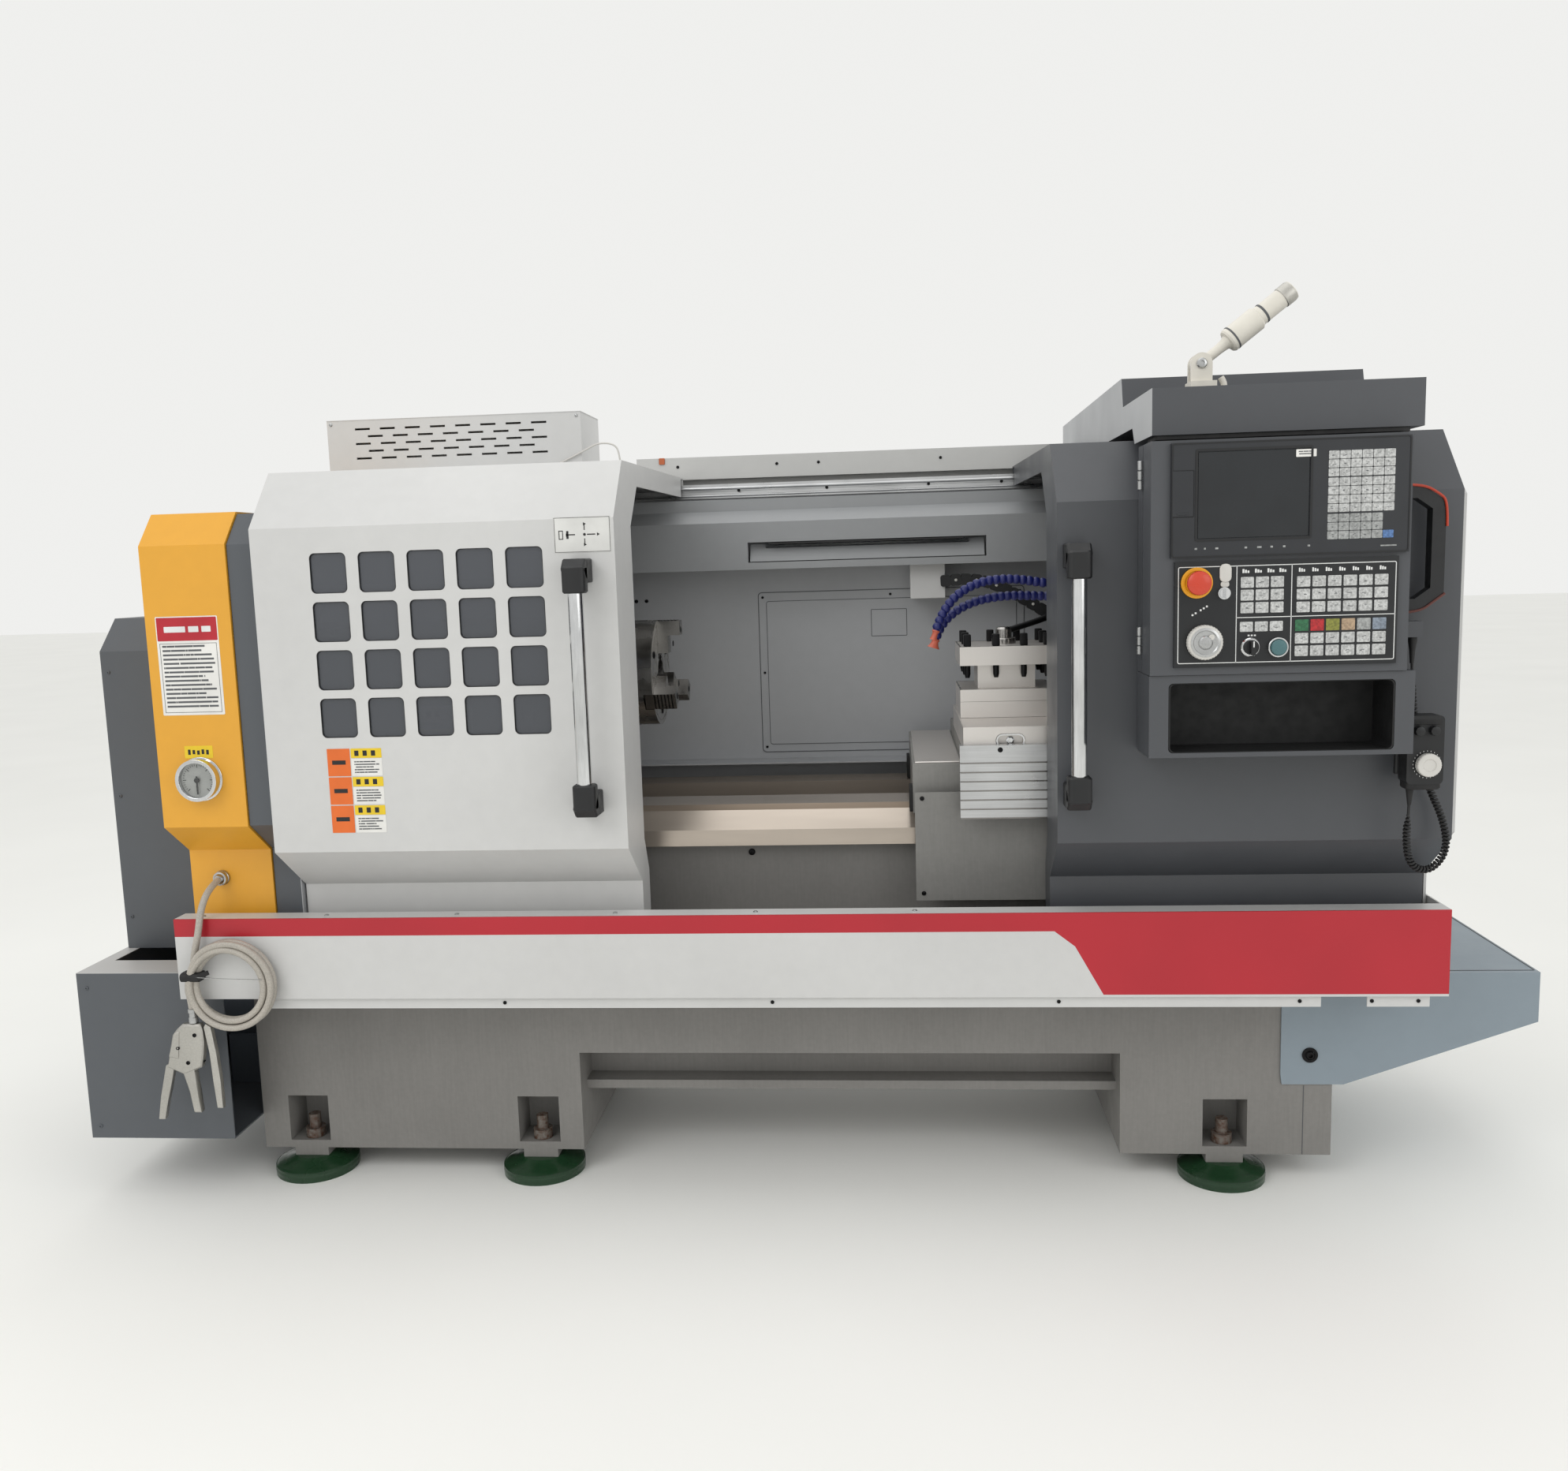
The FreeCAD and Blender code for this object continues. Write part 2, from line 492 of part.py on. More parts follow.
def headstock():
    """Cast spindle housing on the bed's left end, bored for the spindle."""
    casting = prism("head_casting", "x", ("head_left", "head_right"),
                    [("head_front + 15", "way_top + 1"), ("head_front", 800), ("head_front", 1150),
                     ("head_front + 85", "head_top"), ("way_back", "head_top"), ("way_back", "way_top + 1")])
    bore = rod("head_bore", "x", "spindle_radius + running_fit", ("head_left - 1", "head_right + 1"),
               ("axis_y", "axis_z"))
    return node("headstock", cut("head_bored", casting, bore))


def spindle():
    """Hollow spindle with the flange that carries the chuck."""
    centre = ("axis_y", "axis_z")
    solid = fuse("spindle_mass",
                 rod("spindle_shaft", "x", "spindle_radius", (-1404, "flange_left + 1"), centre),
                 rod("spindle_flange", "x", 85, ("flange_left", "flange_right"), centre))
    bore = rod("spindle_bore", "x", "bore_radius", (-1410, "flange_right + 1"), centre)
    return node("spindle", cut("spindle_bored", solid, bore))


def spindle_pulley():
    """Five-groove belt pulley at the spindle's left end."""
    centre = ("axis_y", "axis_z")
    rim = rod("spindle_pulley_rim", "x", 112, (-1400, -1300), centre)
    bore = rod("spindle_pulley_bore", "x", "spindle_radius + running_fit", (-1401, -1299), centre)
    grooves = [belt_groove(f"spindle_groove_{index}", 112, -1392 + 18 * index, centre) for index in range(5)]
    return node("spindle_pulley", cut("spindle_pulley_cut", rim, bore, *grooves))


def belt_groove(name, radius, start, centre):
    """Ring-shaped groove tool, 10 wide and 9 deep, round a pulley."""
    span = (start, start + 10)
    return cut(name, rod(name + "_outer", "x", radius + 5, span, centre), rod(name + "_inner", "x", radius - 9, span, centre))


def motor_pulley():
    """Motor shaft with its five-groove pulley."""
    centre = ("motor_y", "motor_z")
    body = fuse("motor_pulley_mass", rod("motor_pulley_rim", "x", 70, (-1400, -1300), centre),
                rod("motor_shaft", "x", 19, (-1301, -1250), centre))
    grooves = [belt_groove(f"motor_groove_{index}", 70, -1392 + 18 * index, centre) for index in range(5)]
    return node("motor_pulley", cut("motor_pulley_cut", body, *grooves))


def spindle_motor():
    """Foot-mounted motor in the lower left cover."""
    centre = ("motor_y", "motor_z")
    frame = fuse("motor_mass", rod("motor_frame", "x", 100, (-1290, -1136), centre),
                 block("motor_foot", (-1280, -1140), ("motor_y - 90", "motor_y + 90"), ("motor_bottom + 4", "motor_z - 60")))
    bore = rod("motor_bore", "x", "19 + running_fit", (-1291, -1249), centre)
    return node("spindle_motor", cut("motor_bored", frame, bore))


def chuck():
    """Three-jaw chuck body and its jaws; a jaw stands every 120 degrees and slides in a radial slot."""
    centre = ("axis_y", "axis_z")
    body = rod("chuck_drum", "x", "chuck_radius", ("flange_right + gap", "chuck_face"), centre)
    tools = [rod("chuck_bore", "x", "bore_radius", ("flange_right - 1", "chuck_face + 1"), centre)]
    jaws = []
    for number in range(3):
        turn = FreeCAD.Rotation(V(1, 0, 0), 120 * number)
        slot = doc.addObject("Part::Box", f"jaw_slot_{number + 1}")
        bind(slot, Length="21", Width="2 * jaw_half + 2 * gap", Height="chuck_radius")
        aim(slot, turn, "chuck_face - 20", "-jaw_half - gap", "jaw_inner - 12")
        tools.append(slot)
        base = doc.addObject("Part::Box", f"jaw_base_{number + 1}")
        bind(base, Length="18 + 22", Width="2 * jaw_half", Height="jaw_outer - jaw_inner")
        aim(base, turn, "chuck_face - 18", "-jaw_half", "jaw_inner")
        step = doc.addObject("Part::Box", f"jaw_step_{number + 1}")
        bind(step, Length="jaw_reach", Width="2 * jaw_half", Height="(jaw_outer - jaw_inner) * 0.45")
        aim(step, turn, "chuck_face", "-jaw_half", "jaw_inner + (jaw_outer - jaw_inner) * 0.55")
        jaws.append(fuse(f"jaw_{number + 1}", base, step))
    node("chuck_body", cut("chuck_slotted", body, *tools))
    for number, jaw in enumerate(jaws, start=1):
        node(f"chuck_jaw_{number}", jaw)


def aim(box, turn, x, across, outward):
    """Place a box built about the spindle axis: x along it, across and outward turned about it."""
    corner = turn.multVec(V(0, value(across), value(outward)))
    box.Placement = FreeCAD.Placement(V(), turn)
    place(box, x, f"axis_y + {corner.y:.6f}", f"axis_z + {corner.z:.6f}")


def saddle():
    """Saddle over the ways with the cross-slide guide, its nose and the apron housing below."""
    solids = [
        block("saddle_plate", ("saddle_left", "saddle_right"), ("saddle_front", "way_back"), ("way_top + 1", "saddle_top")),
        block("saddle_guide", ("slide_left", "slide_right"), ("slide_front", "way_back"), ("saddle_top - 1", "slide_bottom - gap")),
        block("saddle_nose", ("slide_left", "slide_right"), ("slide_front", "saddle_front + 1"), (792, "saddle_top")),
        block("apron_housing", ("saddle_left + 17", "saddle_right - 17"), ("saddle_front - 24", "way_front - 4"), (575, "way_top + 20")),
    ]
    return node("saddle", fuse("saddle_casting", *solids))


def apron_plate():
    """Cover plate screwed to the apron housing."""
    return node("apron_plate", block("apron_sheet", ("saddle_left + 3", "saddle_right - 3"),
                                     ("saddle_front - 28", "saddle_front - 24 - gap"), (569, 787)))


def slat_curtain():
    """Clamp strip and seven hanging slats in front of the cross-slide guide."""
    front = "slide_front - 20"
    solids = [block("curtain_strip", (333, 560), (front, "slide_front - gap"), (866, 884))]
    for index in range(7):
        top = 867 - 18 * index
        solids.append(block(f"curtain_slat_{index + 1}", (333, 560), (front, f"{front} + 5"), (top - 16, top)))
        solids.append(block(f"curtain_link_{index + 1}", (334, 559), (f"{front} + 3", f"{front} + 6"), (top - 19, top)))
    return node("slat_curtain", fuse("curtain", *solids))


def cross_slide():
    """Cross slide with the oblong lubrication pocket in front and the coolant manifold post."""
    plate = block("slide_plate", ("slide_left", "slide_right"), ("slide_front", "slide_back"), ("slide_bottom", "slide_top"))
    pocket = rounded("slide_pocket", block("slide_pocket_box", (403, 460), ("slide_front - 1", "slide_front + 12"), (876, 904)), "y", 13)
    post = block("manifold_post", ("slide_right - 27", "slide_right - 3"), (205, 275), ("slide_top - 1", 1196))
    return node("cross_slide", fuse("slide_whole", cut("slide_cut", plate, pocket), post))


def turret():
    """Fixed toolpost base on the slide and the indexing four-way block above it."""
    def square(name, half, low, high):
        return block(name, (f"post_x - {half}", f"post_x + {half}"), (f"post_y - {half}", f"post_y + {half}"), (low, high))
    node("turret_base", square("post_base", "post_half", "slide_top + gap", "post_base_top"))
    parts = [
        square("post_low", "post_half", "post_base_top + gap", "post_low_top"),
        square("post_neck", "neck_half", "post_low_top - 1", "post_neck_top + 1"),
        square("post_block", "post_half", "post_neck_top", "post_top"),
        rod("post_cap", "z", 24, ("post_top - 1", "post_top + 12"), ("post_x", "post_y")),
    ]
    node("turret", fuse("post", *parts))


def coolant_hoses():
    """Two jointed coolant hoses that hold their bend, arching from the manifold to their nozzles."""
    radius = NUMBER["hose_radius"]
    upper = tube("hose_upper", radius, [(547, 222, 1182), (500, 222, 1190), (440, 219, 1200), (382, 217, 1196),
                                        (334, 215, 1172), (303, 213, 1131), (288, 212, 1084)])
    lower = tube("hose_lower", radius, [(547, 258, 1160), (500, 258, 1163), (442, 255, 1166), (386, 252, 1160),
                                        (338, 250, 1142), (303, 248, 1110), (289, 247, 1066)])
    return node("coolant_hoses", group("hoses", upper, lower))


def tailstock():
    """Tailstock body with its barrel, and the quill with its centre point."""
    centre = ("axis_y", "axis_z")
    body = fuse("tail_mass",
                block("tail_foot", ("tail_left", "tail_right"), (240, "way_back - 10"), ("way_top + 1", 860)),
                block("tail_web", ("tail_left + 20", "tail_right - 20"), (390, 520), (859, "axis_z")),
                rod("tail_barrel", "x", 66, ("tail_left", "tail_right"), centre))
    bore = rod("tail_bore", "x", "quill_radius + running_fit", ("tail_left - 1", "tail_right - 10"), centre)
    node("tailstock", cut("tail_bored", body, bore))
    point = doc.addObject("Part::Cone", "quill_point")
    point.Placement = FreeCAD.Placement(V(), TURN["x"])
    bind(point, Radius1=0.8, Radius2="quill_radius - 4", Height=49)
    place(point, "quill_tip", *centre)
    shaft = rod("quill_shaft", "x", "quill_radius", ("quill_tip + 48", "tail_left + 200"), centre)
    node("tailstock_quill", fuse("quill", point, shaft))


def shell_box(name, x, y, z, open_side):
    """A sheet-metal box with one open side: back or front."""
    inner_y = {"back": (f"{y[0]} + sheet", f"{y[1]} + 1"), "front": (f"{y[0]} - 1", f"{y[1]} - sheet")}[open_side]
    room = block(name + "_room", (f"{x[0]} + sheet", f"{x[1]} - sheet"), inner_y, (f"{z[0]} + sheet", f"{z[1]} - sheet"))
    return cut(name, block(name + "_box", x, y, z), room)


def control_cabinet():
    """Fixed back half of the control cabinet, its neck to the hood and the pendant's socket."""
    back = shell_box("cab_back_shell", ("cab_left", "cab_right"), ("cab_split + 2", "cab_back"), ("cab_bottom", "cab_top"), "front")
    neck = block("cab_neck", ("cab_left + 24", "cab_right - 21"), ("cab_split + 8", "cab_back - 5"), ("cab_top - 1", "hood_bottom - gap"))
    socket = block("pendant_socket", ("cab_right - 1", "cab_right + 54"), ("cord_y - 12", "cord_y + 12"), (1085, 1112))
    return node("control_cabinet", fuse("cabinet", back, neck, socket))


def panel_door():
    """Hinged front half that carries the display and the operator panel; cut out behind both."""
    shell = shell_box("panel_shell", ("cab_left", "cab_right"), ("cab_front", "cab_split - 2"), ("cab_bottom", "cab_top"), "back")
    screen_hole = block("panel_screen_hole", (680, 1032), ("cab_front - 1", "cab_front + 10"), (1243, 1403))
    keys_hole = block("panel_keys_hole", (688, 1018), ("cab_front - 1", "cab_front + 10"), (1062, 1211))
    frame = cut("panel_frame", shell, screen_hole, keys_hole)
    hinges = []
    for index, span in enumerate(((1067, 1115), (1346, 1395)), start=1):
        hinges += [rod(f"panel_knuckle_{index}", "z", 4, span, ("cab_left - 4", -80)),
                   block(f"panel_leaf_{index}", ("cab_left - 4", "cab_left + 4"), (-84, "cab_split - 2"), span)]
    return node("panel_door", fuse("panel_hinged", frame, *hinges))


def display_unit():
    """Display and keypad unit with the sunken screen."""
    unit = block("display_block", (667, 1045), ("cab_front - 9", "cab_front - gap"), (1230, 1416))
    screen = block("display_screen", (709, 887), ("cab_front - 10", "cab_front - 7"), (1260, 1401))
    return node("display_unit", cut("display", unit, screen))


CONTROLS = {
    "e_stop_button": ("estop_x", "estop_z"), "jog_wheel": ("jog_x", "jog_z"), "key_switch": ("key_x", "key_z"),
    "selector_knob": ("select_x", "select_z"), "push_button": ("push_x", "push_z"),
}


def operator_panel():
    """Black plate with a collar under the stop button and a hole for each control's stem."""
    plate = block("operator_plate", (674, 1031), ("panel_face", "cab_front - gap"), (1049, 1224))
    collar = rod("stop_collar", "y", 25, ("panel_face - 4", "panel_face + 1"), CONTROLS["e_stop_button"])
    holes = [rod(f"{name}_hole", "y", "stem_radius + running_fit", ("panel_face - 10", "cab_front + 1"), spot)
             for name, spot in CONTROLS.items()]
    return node("operator_panel", cut("operator", fuse("operator_mass", plate, collar), *holes))


def operator_controls():
    """Stop button, jog wheel, key switch, selector and push button, each on its stem."""
    heads = {
        "e_stop_button": [(18, "panel_face - 30", "panel_face - 18"), (14, "panel_face - 19", "panel_face - 12")],
        "jog_wheel": [(29, "panel_face - 14", "panel_face - 1"), (22, "panel_face - 18", "panel_face - 13")],
        "key_switch": [(10, "panel_face - 7", "panel_face - 0.5")],
        "selector_knob": [(15, "panel_face - 8", "panel_face - 0.5"), (10, "panel_face - 12", "panel_face - 7")],
        "push_button": [(13, "panel_face - 12", "panel_face - 5.5")],
    }
    for name, discs in heads.items():
        spot = CONTROLS[name]
        solids = [rod(f"{name}_stem", "y", "stem_radius", ("panel_face - 12", "cab_front + 12"), spot)]
        for index, (radius, start, end) in enumerate(discs):
            solids.append(rod(f"{name}_disc_{index}", "y", radius, (start, end), spot))
        if name == "selector_knob":
            solids.append(block("selector_grip", ("select_x - 4", "select_x + 4"),
                                ("panel_face - 24", "panel_face - 11"), ("select_z - 14", "select_z + 14")))
        if name == "key_switch":
            solids.append(block("key_bow", ("key_x - 1.5", "key_x + 1.5"),
                                ("panel_face - 24", "panel_face - 11"), ("key_z - 8", "key_z + 8")))
        node(name, fuse(name + "_mass", *solids))


def storage_pocket():
    """Open-fronted tray under the control cabinet."""
    outer = block("stow_box", ("cab_left", "pocket_right"), ("cab_front + 5", "cab_back"), ("stow_bottom", "stow_top"))
    room = rounded("stow_room", block("stow_room_box", ("cab_left + 32", "pocket_right - 31"),
                                      ("cab_front + 4", "cab_back - 10"), ("stow_bottom + 8", "stow_top - 13")), "y", 8)
    return node("storage_pocket", cut("stow", outer, room))


def bow_handle():
    """Bow-shaped grip on the cabinet's right side."""
    span = (-76, -52)
    outer = [("cab_right + gap", 1340), ("cab_right + 44", 1340), ("cab_right + 84", 1312), ("cab_right + 84", 1158),
             ("cab_right + 44", 1128), ("cab_right + gap", 1128)]
    inner = [("cab_right - 1", 1318), ("cab_right + 37", 1318), ("cab_right + 62", 1300), ("cab_right + 62", 1168),
             ("cab_right + 37", 1150), ("cab_right - 1", 1150)]
    return node("bow_handle", cut("bow", prism("bow_outer", "y", span, outer), prism("bow_inner", "y", (-77, -51), inner)))


def overhead_trunk():
    """Hood over the cabinet and the cable trunk to the rear cabinet, open at its back end."""
    def outline(inset):
        return [(f"hood_front + {inset}", f"hood_bottom + {inset}"), (f"hood_front + {inset}", f"hood_top - {inset}"),
                (f"159 + {inset}", f"hood_top - {inset}"), (f"176 + {inset}", f"trunk_top - {inset}"),
                (f"trunk_back + {inset} / 3", f"trunk_top - 4 - {inset}"), (f"trunk_back + {inset} / 3", f"trunk_bottom + {inset}"),
                (f"60 - {inset} / 3", f"trunk_bottom + {inset}"), (f"38 - {inset} / 3", f"hood_bottom + {inset}")]
    outer = prism("trunk_outer", "x", ("hood_left", "hood_right"), outline(0))
    room = prism("trunk_room", "x", ("hood_left + sheet", "hood_right - sheet"), outline("sheet"))
    return node("overhead_trunk", cut("trunk", outer, room))


def electrical_cabinet():
    """Rear cabinet on two mounting rails, with the cable duct along its top front edge."""
    solids = [
        block("rear_box", ("rear_left", "rear_right"), ("rear_front", "rear_back"), ("rear_bottom", "rear_top")),
        block("rear_duct", ("duct_left", "hood_left - 4"), ("door_back + 10", "rear_front + 60"), ("rear_top - 1", "duct_top")),
        block("rear_rail_left", (-900, -840), ("base_back + 1", "rear_front + 1"), (300, 1200)),
        block("rear_rail_right", (700, 760), ("base_back + 1", "rear_front + 1"), (300, 1200)),
    ]
    return node("electrical_cabinet", fuse("rear_cabinet", *solids))


def resistor_box():
    """Vented box for the braking resistor on top of the rear cabinet."""
    x = ("resistor_left", "resistor_right")
    shell = cut("resistor_shell", block("resistor_outer", x, (805, 1000), ("rear_top + gap", "resistor_top")),
                block("resistor_room", ("resistor_left + sheet", "resistor_right - sheet"), ("805 + sheet", "1000 - sheet"),
                      ("rear_top - 1", "resistor_top - sheet")))
    slots = []
    for row in range(5):
        count = 8 - row % 2
        for index in range(count):
            start = f"resistor_left + 70 + {row % 2} * slot_step_x / 2 + {index} * slot_step_x"
            top = f"resistor_top - 20 - {row} * slot_step_z"
            slots.append(block(f"vent_{row}_{index}", (start, f"{start} + slot_length"), (804, "805 + 2 * sheet"),
                               (f"{top} - slot_open", top)))
    return node("resistor_box", cut("resistor", shell, *slots))


def coolant_tank():
    """Coolant tank beside the right pedestal, with the mounting plate that laps over the base."""
    body = prism("tank_outer", "y", ("base_front + 2", "tank_back"),
                 [("base_right + 3", "tank_bottom"), ("base_right + 20", "tank_bottom"), ("tank_right", 327),
                  ("tank_right", "tank_top"), ("base_right + 3", "tank_top")])
    room = prism("tank_room", "y", ("base_front + 5", "tank_back - sheet"),
                 [("base_right + 6", "tank_bottom + sheet"), ("base_right + 19", "tank_bottom + sheet"),
                  ("tank_right - sheet", 329), ("tank_right - sheet", "tank_top - sheet"),
                  ("base_right + 6", "tank_top - sheet")])
    plate = prism("tank_plate", "y", ("tank_front", "base_front + 2"),
                  [(949, 220), (952, 200), ("base_right + 20", "tank_bottom"), ("tank_right", 327),
                   ("tank_right", "tank_top"), (949, "tank_top")])
    notch = block("tank_plate_notch", (940, "base_right + 3"), ("base_front - 0.5", "base_front + 3"), (190, 430))
    return node("coolant_tank", fuse("tank", cut("tank_shell", body, room), cut("tank_front_plate", plate, notch)))


def gauge():
    """Pressure gauge case with its sunken dial, and the needle on its pin."""
    spot = ("gauge_x", "gauge_z")
    case = rod("gauge_case", "y", "gauge_radius", (-30, "-8 - gap"), spot)
    dial = rod("gauge_dial", "y", "gauge_radius - 6", (-31, -20), spot)
    pin_hole = rod("gauge_pin_hole", "y", "3 + running_fit", (-21, -14), spot)
    node("gauge_body", cut("gauge", case, dial, pin_hole))
    pin = rod("needle_pin", "y", 3, (-26, -16), spot)
    hub = rod("needle_hub", "y", 5, (-27, -24), spot)
    blade = block("needle_blade", ("gauge_x - 1.5", "gauge_x + 1.5"), (-26.5, -25), ("gauge_z - 27", "gauge_z + 8"))
    node("gauge_needle", fuse("needle", pin, hub, blade))


def lamp():
    """Folding signal lamp: clevis on the hood and the tube arm on its pin."""
    low = "lamp_y - 14"
    high = "lamp_y + 14"
    spot = ("lamp_x", "lamp_z")
    base = fuse("lamp_foot_mass",
                block("lamp_foot", ("lamp_x - 20", "lamp_x + 24"), ("lamp_y - 22", "lamp_y + 22"), ("hood_top + gap", "hood_top + 18")),
                block("lamp_ear_front", ("lamp_x - 18", "lamp_x + 18"), (low, f"{low} + 6"), ("hood_top + 17", "lamp_z")),
                block("lamp_ear_back", ("lamp_x - 18", "lamp_x + 18"), (f"{high} - 6", high), ("hood_top + 17", "lamp_z")),
                rod("lamp_disc_front", "y", 18, (low, f"{low} + 6"), spot),
                rod("lamp_disc_back", "y", 18, (f"{high} - 6", high), spot),
                rod("lamp_pin", "y", 4, (low, high), spot))
    node("lamp_base", base)
    arm = fuse("lamp_arm_mass", rod("lamp_knuckle", "y", 17, (f"{low} + 6.5", f"{high} - 6.5"), spot),
               leaning_rod("lamp_rod", 7, 0, 62), leaning_rod("lamp_sleeve", 20, 60, 118),
               leaning_rod("lamp_tube", 17, 117, 190))
    pin_hole = rod("lamp_pin_hole", "y", "4 + running_fit", (low, high), spot)
    node("lamp_arm", cut("lamp_arm_bored", arm, pin_hole))


def air_line():
    """Gland, hanging hose, hose coil and the blow gun with its trigger."""
    node("air_hose_gland", rod("gland", "y", 13, ("73 - 16", "73 - gap"), ("gland_x", "gland_z")))
    radius = NUMBER["air_radius"]
    node("air_hose", tube("hose_drop", radius, [(-1131, 57, 655), (-1133, 19, 646), (-1138, -9, 610),
                                                (-1143, -18, 563), (-1148, -22, 512)]))
    ring = rod("coil_drum", "y", "coil_outer", ("coil_front", "coil_back"), ("coil_x", "coil_z"))
    eye = rod("coil_eye", "y", "coil_inner", ("coil_front - 1", "coil_back + 1"), ("coil_x", "coil_z"))
    node("air_hose_coil", cut("coil", ring, eye))
    span = (-32, -14)
    gun = fuse("gun_mass",
               prism("gun_head", "y", span, [(-1222, 300), (-1206, 366), (-1184, 388), (-1148, 388), (-1143, 350),
                                             (-1152, 300), (-1190, 285)]),
               prism("gun_nozzle", "y", (-29, -17), [(-1226, 308), (-1206, 314), (-1238, 192), (-1251, 192)]),
               prism("gun_grip", "y", span, [(-1194, 302), (-1168, 302), (-1161, 207), (-1175, 207)]),
               rod("gun_inlet", "z", 8, (386, 412), (-1164, -23)))
    node("blow_gun", gun)
    lever = prism("trigger", "y", (-29, -17), [(-1138, 388), (-1128, 382), (-1117, 216), (-1128, 216),
                                               (-1135, 330), (-1142, 382)])
    node("gun_trigger", fuse("trigger_pinned", lever, rod("trigger_pin", "y", 3, (-30, -16), (-1135, 381))))


def pendant():
    """Hand pendant hung beside the storage pocket, its dial and its curly cord."""
    dial_spot = (1104, 872)
    case = rounded("pendant_case", block("pendant_box", (1071, 1131), (-110, -73), (838, 955)), "y", 8)
    hole = rod("pendant_hole", "y", "6 + running_fit", (-111, -95), dial_spot)
    node("pendant", cut("pendant_bored", case, hole))
    node("pendant_dial", fuse("dial", rod("dial_disc", "y", 20, (-123, "-110 - gap"), dial_spot),
                              rod("dial_pin", "y", 6, (-112, -98), dial_spot)))
    node("pendant_cord", tube("cord_loop", NUMBER["cord_radius"],
                              [(1093, -60, 1085), (1093, -60, 1035), (1096, -60, 980), (1102, -60, 925),
                               (1112, -60, 870), (1130, -62, 818), (1152, -66, 768), (1158, -74, 716),
                               (1126, -84, 680), (1088, -92, 692), (1080, -92, 742), (1084, -92, 790),
                               (1084, -92, 838)]))


def build():
    fill_sheet()
    bed_base()
    leveling_pads()
    lathe_bed()
    chip_tray()
    motor_cover()
    end_cover()
    gearbox_cover()
    splash_guard()
    top_beam()
    door_rail()
    left_door()
    left_door_window()
    right_door()
    door_handle("left", "-350")
    door_handle("right", "529")
    headstock()
    spindle()
    spindle_pulley()
    motor_pulley()
    spindle_motor()
    chuck()
    saddle()
    apron_plate()
    slat_curtain()
    cross_slide()
    turret()
    coolant_hoses()
    tailstock()
    control_cabinet()
    panel_door()
    display_unit()
    operator_panel()
    operator_controls()
    storage_pocket()
    bow_handle()
    overhead_trunk()
    electrical_cabinet()
    resistor_box()
    coolant_tank()
    gauge()
    lamp()
    air_line()
    pendant()
    doc.recompute()


def check_and_write():
    """Refuse any failed object or empty shape, then write one file per sub-part."""
    for thing in doc.Objects:
        if "Invalid" in thing.State or "Error" in thing.State:
            raise RuntimeError(f"{thing.Label} failed to recompute: {thing.State}")
    os.makedirs("parts", exist_ok=True)
    for thing in NODES:
        shape = thing.Shape
        if shape.isNull() or not shape.isValid() or not shape.Solids:
            raise RuntimeError(f"{thing.Label} has no valid solid")
        shape.exportStep(os.path.join("parts", thing.Label + ".step"))
    whole = FreeCAD.BoundBox()
    for thing in NODES:
        whole.add(thing.Shape.BoundBox)
    print(len(NODES), "nodes; box", whole)


build()
check_and_write()
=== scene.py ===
"""CNC turning lathe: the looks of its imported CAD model, laid out as a Blender add-on.

Pieces are worked out in millimetres in the CAD's modelling frame (X along the spindle towards the
tailstock, Y into the machine, Z up from the floor) and moved into the machine's own frame, in metres,
by `metres`. Every piece rides on a body of the CAD by name.
"""
import math

import bmesh
import bpy
import numpy as np
from mathutils import Matrix


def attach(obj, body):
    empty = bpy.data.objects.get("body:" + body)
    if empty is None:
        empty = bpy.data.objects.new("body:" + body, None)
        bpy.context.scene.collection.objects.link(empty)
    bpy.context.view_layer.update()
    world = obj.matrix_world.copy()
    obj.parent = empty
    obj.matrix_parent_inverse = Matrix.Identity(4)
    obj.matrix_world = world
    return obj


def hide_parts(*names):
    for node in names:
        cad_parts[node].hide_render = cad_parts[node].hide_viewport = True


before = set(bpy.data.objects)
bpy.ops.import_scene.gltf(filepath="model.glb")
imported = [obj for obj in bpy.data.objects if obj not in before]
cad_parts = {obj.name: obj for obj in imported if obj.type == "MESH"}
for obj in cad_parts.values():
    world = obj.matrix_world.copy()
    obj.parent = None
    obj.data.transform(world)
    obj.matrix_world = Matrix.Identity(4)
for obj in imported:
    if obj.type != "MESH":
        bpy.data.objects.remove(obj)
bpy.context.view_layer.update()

SHIFT = np.array((-3.0, 472.0, 0.0))
SHARP_EDGE = math.radians(32)
FOOT_SPOTS = [(x, y) for x in (-1031, -539, 845) for y in (176, 784)]
CHUCK_CENTRE = (455, 1014)

bl_info = {
    "name": "CNC turning lathe",
    "version": (1, 0, 0),
    "blender": (4, 5, 0),
    "location": "View3D > Sidebar > Lathe",
    "description": "Finishes and fittings of a flat-bed turning lathe on its CAD frame",
    "category": "Object",
}


# ---------------------------------------------------------------- shapes

def metres(points):
    """Millimetres in the modelling frame to metres in the machine's: less the shift, over 1000."""
    return (np.asarray(points, float) - SHIFT) / 1000


def loft(rings, wrap=False):
    """Skin over a stack of closed rings: point (i, j) is point j of ring i, and four neighbours make a
    face. The end rings are closed by one face each, or joined to each other where the stack wraps."""
    rings = np.asarray(rings, float)
    count, around = rings.shape[:2]
    i, j = np.meshgrid(np.arange(count if wrap else count - 1), np.arange(around), indexing="ij")
    after = (i + 1) % count * around
    nearby = (j + 1) % around
    corners = (i * around + j, i * around + nearby, after + nearby, after + j)
    faces = np.stack(corners, -1).reshape(-1, 4).tolist()
    if not wrap:
        faces += [list(range(around)), list(range((count - 1) * around, count * around))]
    return rings.reshape(-1, 3), faces


